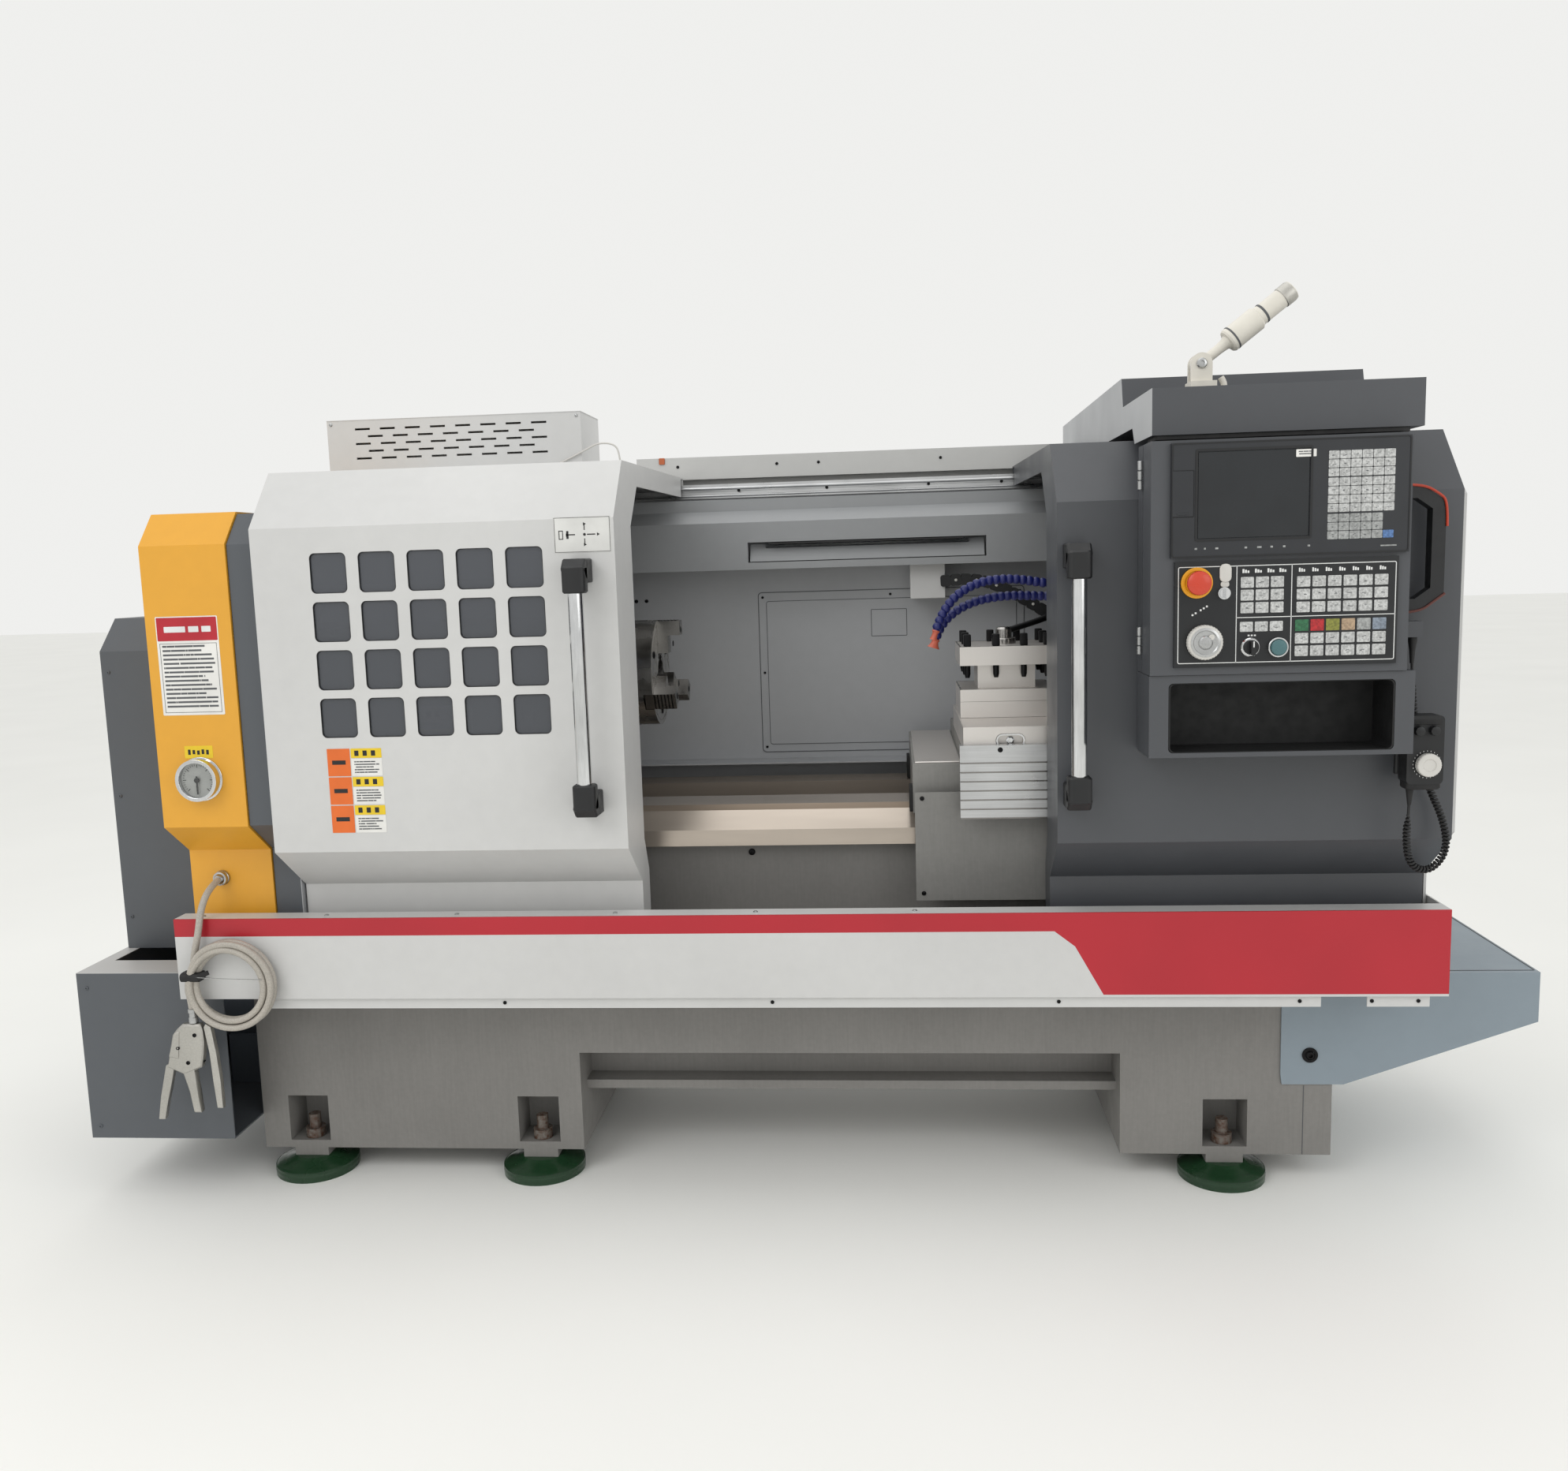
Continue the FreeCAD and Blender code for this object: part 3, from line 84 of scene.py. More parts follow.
def gathered(parts):
    """Several parts as one: their points end to end, and each part's faces counted on from where its
    points start."""
    starts = np.cumsum([0] + [len(points) for points, _ in parts])
    points = np.concatenate([points for points, _ in parts])
    return points, [[corner + start for corner in face]
                    for (_, faces), start in zip(parts, starts) for face in faces]


def repeated(part, offsets):
    """The same part at every offset: its points plus each offset in turn."""
    return gathered([(part[0] + offset, part[1]) for offset in np.asarray(offsets, float)])


def square_to(axis, across, up, depth):
    """Points of an outline that lies square to an axis: across and up in the outline, depth along the
    axis."""
    order = {"x": (depth, across, up), "y": (across, depth, up), "z": (across, up, depth)}[axis]
    return np.stack(np.broadcast_arrays(*order), -1)


def soft_rectangle(width, height, radius, steps=3):
    """Rectangle with round corners: each is a quarter circle about a centre pulled in by the radius."""
    radius = max(min(radius, width / 2 - 0.01, height / 2 - 0.01), 0.01)
    angle = np.linspace(0, np.pi / 2, steps + 1) + np.arange(4)[:, None] * np.pi / 2
    sign = np.array([(1, 1), (-1, 1), (-1, -1), (1, -1)])
    across = sign[:, :1] * (width / 2 - radius) + radius * np.cos(angle)
    up = sign[:, 1:] * (height / 2 - radius) + radius * np.sin(angle)
    return across.ravel(), up.ravel()


def slab(axis, centre, size, span, radius=2.0, edge=0.5, steps=3):
    """Block with round corners along an axis: its outline is drawn in by the edge at both ends of the
    span."""
    rings = []
    for depth, inset in ((span[0], edge), (span[0] + edge, 0), (span[1] - edge, 0), (span[1], edge)):
        across, up = soft_rectangle(size[0] - 2 * inset, size[1] - 2 * inset, radius - inset, steps)
        rings.append(square_to(axis, across + centre[0], up + centre[1], float(depth)))
    return loft(rings)


def box_slab(axis, across, up, span, radius=2.0, edge=0.5, steps=3):
    """The same block given by its two ends across and up instead of its centre and size."""
    centre = ((across[0] + across[1]) / 2, (up[0] + up[1]) / 2)
    return slab(axis, centre, (across[1] - across[0], up[1] - up[0]), span, radius, edge, steps)


def turned(axis, centre, profile, around=32, ripple=0.0, lobes=0, wrap=False):
    """Turned part: (radius, depth) pairs spun about an axis; a knurl adds ripple times the cosine of
    lobes turns."""
    angle = np.linspace(0, 2 * np.pi, around, endpoint=False)
    radius, depth = np.asarray(profile, float).T[:, :, None]
    radius = radius + ripple * np.cos(lobes * angle) * (radius > 2)
    across = centre[0] + radius * np.cos(angle)
    up = centre[1] + radius * np.sin(angle)
    return loft(square_to(axis, across, up, depth), wrap)


def hoop(axis, centre, inner, outer, span, around=48):
    """Flat ring: a rectangle of inner to outer radius and the span, spun about the axis and closed on
    itself."""
    profile = [(inner, span[0]), (outer, span[0]), (outer, span[1]), (inner, span[1])]
    return turned(axis, centre, profile, around, wrap=True)


def slopes(line):
    """The direction of a line at each of its points: the change between its neighbours, made one long."""
    ahead = np.gradient(line, axis=0)
    return ahead / np.linalg.norm(ahead, axis=1)[:, None]


def carried(line, radius, around=10, sideways=(0, 1, 0)):
    """Round section carried along a line: ring i is a circle of radius i, square to the line's slope
    there."""
    line = np.asarray(line, float)
    ahead = slopes(line)
    side = np.cross(ahead, sideways)
    side /= np.linalg.norm(side, axis=1)[:, None]
    over = np.cross(side, ahead)
    angle = np.linspace(0, 2 * np.pi, around, endpoint=False)[:, None]
    size = np.broadcast_to(radius, len(line))[:, None, None]
    return loft(line[:, None] + size * (np.cos(angle) * side[:, None] + np.sin(angle) * over[:, None]))


def drawn_out(axis, outline, span, edge=1.5):
    """Any outline drawn out along an axis, shrunk towards its middle by the edge at both ends."""
    outline = np.asarray(outline, float)
    middle = outline.mean(0)
    reach = np.linalg.norm(outline - middle, axis=1)[:, None]
    small = middle + (outline - middle) * (1 - edge / reach)
    rings = [square_to(axis, *ring.T, float(depth)) for ring, depth in
             ((small, span[0]), (outline, span[0] + edge), (outline, span[1] - edge), (small, span[1]))]
    return loft(rings)


def printed(axis, rectangles, at, thickness=0.25):
    """Printed marks: a thin block for each (left, right, low, high), from a surface outwards by the
    thickness."""
    left, right, low, high = np.asarray(rectangles, float).T[:, :, None]
    across = np.concatenate([left, right, right, left], 1)
    up = np.concatenate([low, low, high, high], 1)
    faces = [(0, 1, 2, 3), (4, 7, 6, 5), (0, 4, 5, 1), (1, 5, 6, 2), (2, 6, 7, 3), (3, 7, 4, 0)]
    points = np.concatenate([square_to(axis, across, up, float(at)),
                             square_to(axis, across, up, float(at - thickness))], 1)
    return gathered([(block, faces) for block in points])


def text_lines(left, right, low, high, count, seed):
    """Rows of word-long bars, as print too small to read looks: each row is cut at seeded random places."""
    chance = np.random.default_rng(seed)
    pitch = (high - low) / count
    bars = []
    for row in range(count):
        top = high - row * pitch
        cuts = np.sort(chance.uniform(left, right, 4))
        ends = [left, *cuts, left + (right - left) * chance.uniform(0.7, 1.0)]
        words = [(a, b) for a, b in zip(ends, ends[1:]) if b - a > 2.5]
        bars += [(a + 0.8, b, top - pitch * 0.62, top - pitch * 0.18) for a, b in words]
    return bars


def outlined(axis, across, up, at, width, thickness, radius=2.0):
    """A thin frame line: the band between a soft rectangle and one drawn in by the width, closed on
    itself."""
    centre = ((across[0] + across[1]) / 2, (up[0] + up[1]) / 2)
    size = (across[1] - across[0], up[1] - up[0])
    rings = []
    for inset, depth in ((0, at), (0, at - thickness), (width, at - thickness), (width, at)):
        a, b = soft_rectangle(size[0] - 2 * inset, size[1] - 2 * inset, radius - inset)
        rings.append(square_to(axis, a + centre[0], b + centre[1], float(depth)))
    return loft(rings, wrap=True)


def spline_object(name, points, thickness=0.0):
    """One open NURBS spline of order 3 whose control points are the route's points, given a round
    section."""
    curve = bpy.data.curves.new(name, "CURVE")
    curve.dimensions = "3D"
    curve.resolution_u = 6
    curve.bevel_depth = thickness / 2000
    curve.bevel_resolution = 3
    curve.use_fill_caps = True
    spline = curve.splines.new("NURBS")
    spline.points.add(len(points) - 1)
    spline.points.foreach_set("co", np.c_[metres(points), np.ones(len(points))].ravel())
    spline.order_u = 3
    spline.use_endpoint_u = True
    thing = bpy.data.objects.new(name, curve)
    bpy.context.scene.collection.objects.link(thing)
    return thing


def read_line(points):
    """The smooth line that a route's NURBS spline makes, in millimetres in the modelling frame."""
    guide = spline_object("guide", points)
    mesh = bpy.data.meshes.new_from_object(guide)
    line = np.empty(len(mesh.vertices) * 3)
    mesh.vertices.foreach_get("co", line)
    curve = guide.data
    bpy.data.objects.remove(guide)
    bpy.data.curves.remove(curve)
    bpy.data.meshes.remove(mesh)
    return line.reshape(-1, 3) * 1000 + SHIFT


def spaced(line, step):
    """Points a step apart along a line: its run-up length worked out and each coordinate read between."""
    run = np.concatenate([[0], np.cumsum(np.linalg.norm(np.diff(line, axis=0), axis=1))])
    stops = np.linspace(0, run[-1], max(int(run[-1] / step), 2))
    return np.stack([np.interp(stops, run, line[:, k]) for k in range(3)], -1), stops


def smooth(route, step):
    """Points a step apart along the smooth line of a route."""
    return spaced(read_line(route), step)[0]


def length_of(line):
    """The length of a line of points, in metres: its steps added up."""
    return float(np.linalg.norm(np.diff(line, axis=0), axis=1).sum()) / 1000


def stood(thing, spot, across, up, back):
    """Put a lamp or the camera on a spot, turned so that its three axes lie along three directions."""
    rows = zip(np.stack([across, up, back], -1).tolist(), spot)
    thing.matrix_world = Matrix([[*row, place] for row, place in rows] + [[0, 0, 0, 1]])


def piece(name, body, parts, material, soften=0.0, stands_for=()):
    """Make an object of one or more parts, with its normals outwards, its finish, and its body to ride
    on."""
    points, faces = gathered(parts)
    mesh = bpy.data.meshes.new(name)
    mesh.from_pydata(metres(points).tolist(), [], faces)
    sculpt = bmesh.new()
    sculpt.from_mesh(mesh)
    bmesh.ops.recalc_face_normals(sculpt, faces=sculpt.faces)
    sculpt.to_mesh(mesh)
    sculpt.free()
    mesh.shade_smooth()
    mesh.set_sharp_from_angle(angle=SHARP_EDGE)
    mesh.materials.append(finish(material))
    thing = bpy.data.objects.new(name, mesh)
    bpy.context.scene.collection.objects.link(thing)
    if soften:
        bevel = thing.modifiers.new("soft edges", "BEVEL")
        bevel.width = soften / 1000
        bevel.segments = 2
        bevel.limit_method = "ANGLE"
    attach(thing, body)
    if stands_for:
        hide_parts(*stands_for)
    return thing


# ---------------------------------------------------------------- colours and sizes

def linear(code):
    """sRGB hex code to linear red, green and blue, with an alpha of one."""
    share = [int(code[k:k + 2], 16) / 255 for k in (1, 3, 5)]
    return [s / 12.92 if s <= 0.04045 else ((s + 0.055) / 1.055) ** 2.4 for s in share] + [1.0]


def paint_choice(name, description, code):
    """A colour that a user can change, from its sRGB hex code."""
    return bpy.props.FloatVectorProperty(
        name=name, description=description, default=linear(code), size=4, min=0, max=1, subtype="COLOR")


class LatheColours(bpy.types.PropertyGroup):
    """Colours of the lathe's finishes."""
    cream: paint_choice("Cream", "Left door, skirt panel and vented box", "#C9C9C8")
    dark_grey: paint_choice("Dark grey", "Right door, control cabinet and hood", "#4A4C50")
    cover_grey: paint_choice("Cover grey", "Motor and belt covers", "#53575C")
    yellow: paint_choice("Yellow", "Gearbox cover", "#DFA233")
    red: paint_choice("Red", "Skirt stripe", "#B01B2A")
    casting: paint_choice("Casting grey", "Machine base and saddle", "#7E7C79")
    wall: paint_choice("Wall grey", "Splash guard and hatch", "#AEB0B3")
    beam: paint_choice("Beam grey", "Top beam", "#8F9193")
    cabinet: paint_choice("Cabinet grey", "Electrical cabinet", "#BDBDBB")
    tank: paint_choice("Tank blue-grey", "Coolant tank", "#85919A")
    feet: paint_choice("Foot green", "Levelling feet", "#1D3B24")
    hose: paint_choice("Jointed hose", "Coolant hose segments", "#141C5E")
    nozzle: paint_choice("Nozzle", "Coolant hose nozzles", "#C0604A")


class LatheSizes(bpy.types.PropertyGroup):
    """Sizes of the lathe's fittings and of the stage."""
    key_gap: bpy.props.FloatProperty(
        name="Key gap", description="Space between two keys, in millimetres", default=1.6, min=0.5, max=4)
    key_rise: bpy.props.FloatProperty(name="Key rise",
        description="Height of a key over its panel, in millimetres", default=1.0, min=0.3, max=3)
    label_thickness: bpy.props.FloatProperty(name="Label thickness",
        description="Thickness of a label, in millimetres", default=0.5, min=0.2, max=2)
    screw_head: bpy.props.FloatProperty(name="Screw head",
        description="Radius of a cover screw's head, in millimetres", default=4.5, min=2, max=8)
    segment_pitch: bpy.props.FloatProperty(
        name="Segment pitch", description="Length of one joint of the coolant hose, in millimetres",
        default=13.0, min=8, max=25)
    curl_pitch: bpy.props.FloatProperty(
        name="Curl pitch", description="Length of one turn of the pendant's curly cord, in millimetres",
        default=6.4, min=5, max=12)
    lens: bpy.props.FloatProperty(
        name="Lens", description="Focal length of the camera", default=29.908, min=20, max=80, unit="CAMERA")
    floor_width: bpy.props.FloatProperty(name="Floor width", description="Half the width of the floor",
        default=30.0, min=5, max=60, unit="LENGTH")
    key_light: bpy.props.FloatProperty(name="Key light", description="Power of the large soft light",
        default=48.0, min=0, max=2000, unit="POWER")


# ---------------------------------------------------------------- finishes

COLOURS = {"data_type": "RGBA"}
TIMES = {"data_type": "RGBA", "blend_type": "MULTIPLY"}
OVER = {"operation": "GREATER_THAN"}


def add(tree, kind, settings=None, **sockets):
    """Add one node of a kind: settings are its properties, and each named or numbered socket gets a value
    or a link."""
    made = tree.nodes.new("ShaderNode" + kind)
    for name, setting in (settings or {}).items():
        setattr(made, name, setting)
    for name, source in sockets.items():
        name = name.replace("_", " ")
        socket = made.inputs[int(name[1:]) if name[1:].isdigit() else name]
        if isinstance(source, bpy.types.NodeSocket):
            tree.links.new(source, socket)
        else:
            socket.default_value = source
    return made


def new_surface(name, colour, metallic, roughness, **constants):
    """A material with one Principled shader, its constants on their own sockets, and Object coordinates."""
    made = bpy.data.materials.new(name)
    made.use_nodes = True
    tree = made.node_tree
    shader = tree.nodes["Principled BSDF"]
    shader.inputs["Base Color"].default_value = colour
    shader.inputs["Metallic"].default_value = metallic
    shader.inputs["Roughness"].default_value = roughness
    for socket, number in constants.items():
        shader.inputs[socket.replace("_", " ")].default_value = number
    return made, tree, shader, add(tree, "TexCoord").outputs["Object"]


def patchy(tree, place, size, low, high, stretch=(1, 1, 1), detail=3.0):
    """A number that wanders from low to high in patches of a size in millimetres, drawn out by the
    stretch."""
    scale = [1000 / (size * s) for s in stretch]
    moved = add(tree, "Mapping", Vector=place, Scale=scale).outputs["Vector"]
    noise = add(tree, "TexNoise", Vector=moved, Scale=1.0, Detail=detail).outputs[0]
    spread = add(tree, "MapRange", Value=noise, From_Min=0.32, From_Max=0.68, To_Min=low, To_Max=high)
    return spread.outputs[0]


def mottled(tree, place, colour, *patches, **more):
    """The colour times a grey that wanders: the patches' size in millimetres, the grey's low and its
    high."""
    grey = patchy(tree, place, *patches, **more)
    return add(tree, "Mix", TIMES, _0=1.0, _6=colour, _7=grey).outputs[2]


def grained(tree, shader, place, size, depth, strength, **more):
    """Relief that rises and falls in grains of a size, by a depth, both in millimetres."""
    height = patchy(tree, place, size, 0, 1, **more)
    bump = add(tree, "Bump", Height=height, Distance=depth / 1000, Strength=strength)
    tree.links.new(bump.outputs["Normal"], shader.inputs["Normal"])


def parted(tree, place, axis, limit, before, beyond):
    """One colour up to a limit along an axis, in metres, and another beyond it, with the mask that parts
    them."""
    along = add(tree, "SeparateXYZ", Vector=place).outputs[axis]
    mask = add(tree, "Math", OVER, _0=along, _1=limit).outputs[0]
    return add(tree, "Mix", COLOURS, _0=mask, _6=before, _7=beyond).outputs[2], mask


def powder_coat(name, colour, roughness=0.42):
    """Powder-coated sheet steel: electrostatic paint that flows in the oven and leaves a fine orange peel.
    The peel is about 2 mm across and is drawn at 5 mm, so that it shows."""
    made, tree, shader, place = new_surface(name, colour, 0.0, roughness)
    tone = mottled(tree, place, colour, 380, 0.965, 1.03)
    tone = mottled(tree, place, tone, 26, 0.985, 1.01)
    tree.links.new(tone, shader.inputs["Base Color"])
    tree.links.new(patchy(tree, place, 140, roughness - 0.05, roughness + 0.07), shader.inputs["Roughness"])
    grained(tree, shader, place, 5, 0.08, 0.35, detail=1.5)
    return made, tree, shader, place, tone


def casting_enamel(name, colour, roughness=0.48):
    """Enamel sprayed on filled iron castings: soft waves about 30 mm across, small pits, and faint
    scuffs."""
    made, tree, shader, place = new_surface(name, colour, 0.0, roughness)
    tone = mottled(tree, place, colour, 260, 0.93, 1.05)
    tone = mottled(tree, place, tone, 9, 0.965, 1.02, detail=6.0)
    tone = mottled(tree, place, tone, 30, 1.03, 0.97, stretch=(0.15, 1, 2.2))
    tree.links.new(tone, shader.inputs["Base Color"])
    tree.links.new(patchy(tree, place, 70, roughness - 0.07, roughness + 0.1), shader.inputs["Roughness"])
    grained(tree, shader, place, 30, 0.9, 0.45, detail=7.0)
    return made, tree, shader, place, tone


def cut_steel(name, colour, roughness, stretch, depth=0.02):
    """Machined steel: fine marks that run one way, a thin film of oil in patches, and bare metal gloss.
    The marks are about 0.1 mm apart and are drawn at 1 mm, so that they show."""
    made, tree, shader, place = new_surface(name, colour, 1.0, roughness)
    tone = mottled(tree, place, colour, 90, 0.86, 1.06)
    tone = mottled(tree, place, tone, 2.5, 0.93, 1.05, stretch=stretch)
    tree.links.new(tone, shader.inputs["Base Color"])
    tree.links.new(patchy(tree, place, 45, roughness - 0.08, roughness + 0.1), shader.inputs["Roughness"])
    grained(tree, shader, place, 1.0, depth, 0.5, stretch=stretch, detail=4.0)
    return made, tree, shader, place, tone


def moulded(name, colour, roughness=0.5, grain=1.2, depth=0.05):
    """Moulded plastic: an even colour with a spark-eroded grain from the mould, and slight handling
    gloss."""
    made, tree, shader, place = new_surface(name, colour, 0.0, roughness, IOR=1.5)
    tone = mottled(tree, place, colour, 50, 0.93, 1.06)
    tree.links.new(tone, shader.inputs["Base Color"])
    tree.links.new(patchy(tree, place, 22, roughness - 0.06, roughness + 0.08), shader.inputs["Roughness"])
    grained(tree, shader, place, grain, depth, 0.4, detail=2.0)
    return made, tree, shader, place, tone


def skirt_paint(name, cream, red):
    """Two powder coats masked on one skirt: a red stripe along the top, and red right of a slanting edge.
    The edge is the higher of two straight lines, one steep and one shallow near its top. The fold behind
    is cream."""
    made, tree, shader, place, tone = powder_coat(name, cream, 0.36)
    stripe_bottom, lip_top, fold_front = 0.554, 0.4325, -0.4686
    edge_lines = ((0.5604, 0.83022), (1.2963, 1.21656))
    parts = add(tree, "SeparateXYZ", Vector=place)
    x, y, z = (parts.outputs[axis] for axis in "XYZ")
    slants = []
    for slope, limit in edge_lines:
        lean = add(tree, "Math", {"operation": "MULTIPLY_ADD"}, _0=z, _1=slope, _2=x).outputs[0]
        slants.append(add(tree, "Math", OVER, _0=lean, _1=limit).outputs[0])
    stripe = add(tree, "Math", OVER, _0=z, _1=stripe_bottom).outputs[0]
    above_lip = add(tree, "Math", OVER, _0=z, _1=lip_top).outputs[0]
    front = add(tree, "Math", {"operation": "LESS_THAN"}, _0=y, _1=fold_front).outputs[0]
    mask = slants[0]
    for operation, other in (("MAXIMUM", slants[1]), ("MAXIMUM", stripe), ("MULTIPLY", above_lip),
                             ("MULTIPLY", front)):
        mask = add(tree, "Math", {"operation": operation}, _0=mask, _1=other).outputs[0]
    red_tone = mottled(tree, place, red, 300, 0.94, 1.05)
    both = add(tree, "Mix", COLOURS, _0=mask, _6=tone, _7=red_tone).outputs[2]
    tree.links.new(both, shader.inputs["Base Color"])
    return made


def guard_paint(name, wall, end, right):
    """Powder coat of the splash guard: dark on its left end, light grey inside, cream on its right end."""
    made, tree, shader, place, tone = powder_coat(name, wall)
    left_end, right_end = -0.9705, 1.1925
    worn_end = mottled(tree, place, end, 380, 0.96, 1.03)
    inner, _ = parted(tree, place, "X", left_end, worn_end, tone)
    whole, _ = parted(tree, place, "X", right_end, inner, right)
    tree.links.new(whole, shader.inputs["Base Color"])
    return made


def two_tone_and_painted_light(name, cover, sheet, axis, limit, beyond=True):
    """Powder-coated box in one colour with a second colour that lies beyond a limit along an axis, or before
    it: a separate sheet on the motor cover, and painted light on the trunk, whose left side face is painted
    lighter where light falls on it."""
    made, tree, shader, place, tone = powder_coat(name, cover)
    # on the trunk this second colour is painted light: its left side face painted lighter where light falls
    # on it
    second = mottled(tree, place, sheet, 300, 0.95, 1.03)
    both, _ = parted(tree, place, axis, limit, *((tone, second) if beyond else (second, tone)))
    tree.links.new(both, shader.inputs["Base Color"])
    return made


def bed_finish(name, casting, steel):
    """Iron bed: enamel on the casting's webs, and ways ground bright along their length above them.
    Ground iron is a metal under a film of oil, and the enamel isn't, so the change also moves the
    metallic value."""
    made, tree, shader, place, tone = casting_enamel(name, casting)
    web_top = 0.6715
    bright = mottled(tree, place, steel, 60, 0.85, 1.05, stretch=(8, 1, 1))
    both, ground = parted(tree, place, "Z", web_top, tone, bright)
    tree.links.new(both, shader.inputs["Base Color"])
    for socket, enamelled, bare in (("Metallic", 0.0, 0.6), ("Roughness", 0.5, 0.2)):
        number = add(tree, "MapRange", Value=ground, From_Min=0.0, From_Max=1.0, To_Min=enamelled,
            To_Max=bare)
        tree.links.new(number.outputs[0], shader.inputs[socket])
    grained(tree, shader, place, 1.5, 0.02, 0.4, stretch=(40, 1, 1))
    return made


def foot_finish(name, green, steel):
    """Dipped gloss enamel on cast feet, and oily steel bolts above them."""
    made, tree, shader, place, tone = casting_enamel(name, green, 0.22)
    foot_top = 0.0365
    rust = patchy(tree, place, 8, 0, 1)
    rusty = add(tree, "Mix", COLOURS, _0=rust, _6=steel, _7=linear("#4A2F20")).outputs[2]
    both, _ = parted(tree, place, "Z", foot_top, tone, rusty)
    tree.links.new(both, shader.inputs["Base Color"])
    return made


def braided_hose(name, colour):
    """Clear vinyl hose over a woven braid: a fine criss-cross under a satin skin."""
    made, tree, shader, place = new_surface(name, colour, 0.0, 0.42, Coat_Weight=0.25, Coat_Roughness=0.25)
    cross = add(tree, "TexVoronoi", {"feature": "F1"}, Vector=place, Scale=420.0).outputs["Distance"]
    weave = add(tree, "MapRange", Value=cross, From_Min=0.1, From_Max=0.6, To_Min=1.04, To_Max=0.8).outputs[0]
    woven = add(tree, "Mix", TIMES, _0=1.0, _6=colour, _7=weave).outputs[2]
    tone = mottled(tree, place, woven, 60, 0.9, 1.05)
    tree.links.new(tone, shader.inputs["Base Color"])
    bump = add(tree, "Bump", Height=weave, Distance=0.0003, Strength=0.5)
    tree.links.new(bump.outputs["Normal"], shader.inputs["Normal"])
    return made


def clear_sheet(name, colour, roughness, clear=1.0):
    """Polycarbonate or acrylic: clear, or slightly hazed with its tint, with wiped smears that dull it in
    patches."""
    made, tree, shader, place = new_surface(name, colour, 0.0, roughness, IOR=1.52, Transmission_Weight=clear)
    tree.links.new(patchy(tree, place, 90, roughness, roughness + 0.08), shader.inputs["Roughness"])
    grained(tree, shader, place, 180, 0.15, 0.3)
    return made


def dark_glass(name, colour):
    """Display glass, printed black behind: near-mirror gloss with faint wiping marks."""
    made, tree, shader, place = new_surface(name, colour, 0.0, 0.08, IOR=1.52)
    tree.links.new(patchy(tree, place, 40, 0.05, 0.14, stretch=(3, 1, 1)), shader.inputs["Roughness"])
    tree.links.new(mottled(tree, place, colour, 120, 0.8, 1.3), shader.inputs["Base Color"])
    return made


def key_cap(name, colour):
    """Silicone key with worn grey print: a satin face with faint smudges."""
    made, tree, shader, place, tone = moulded(name, colour, 0.45, 2.0, 0.08)
    printed_tone = mottled(tree, place, tone, 3.2, 0.62, 1.04, detail=1.0)
    tree.links.new(printed_tone, shader.inputs["Base Color"])
    return made


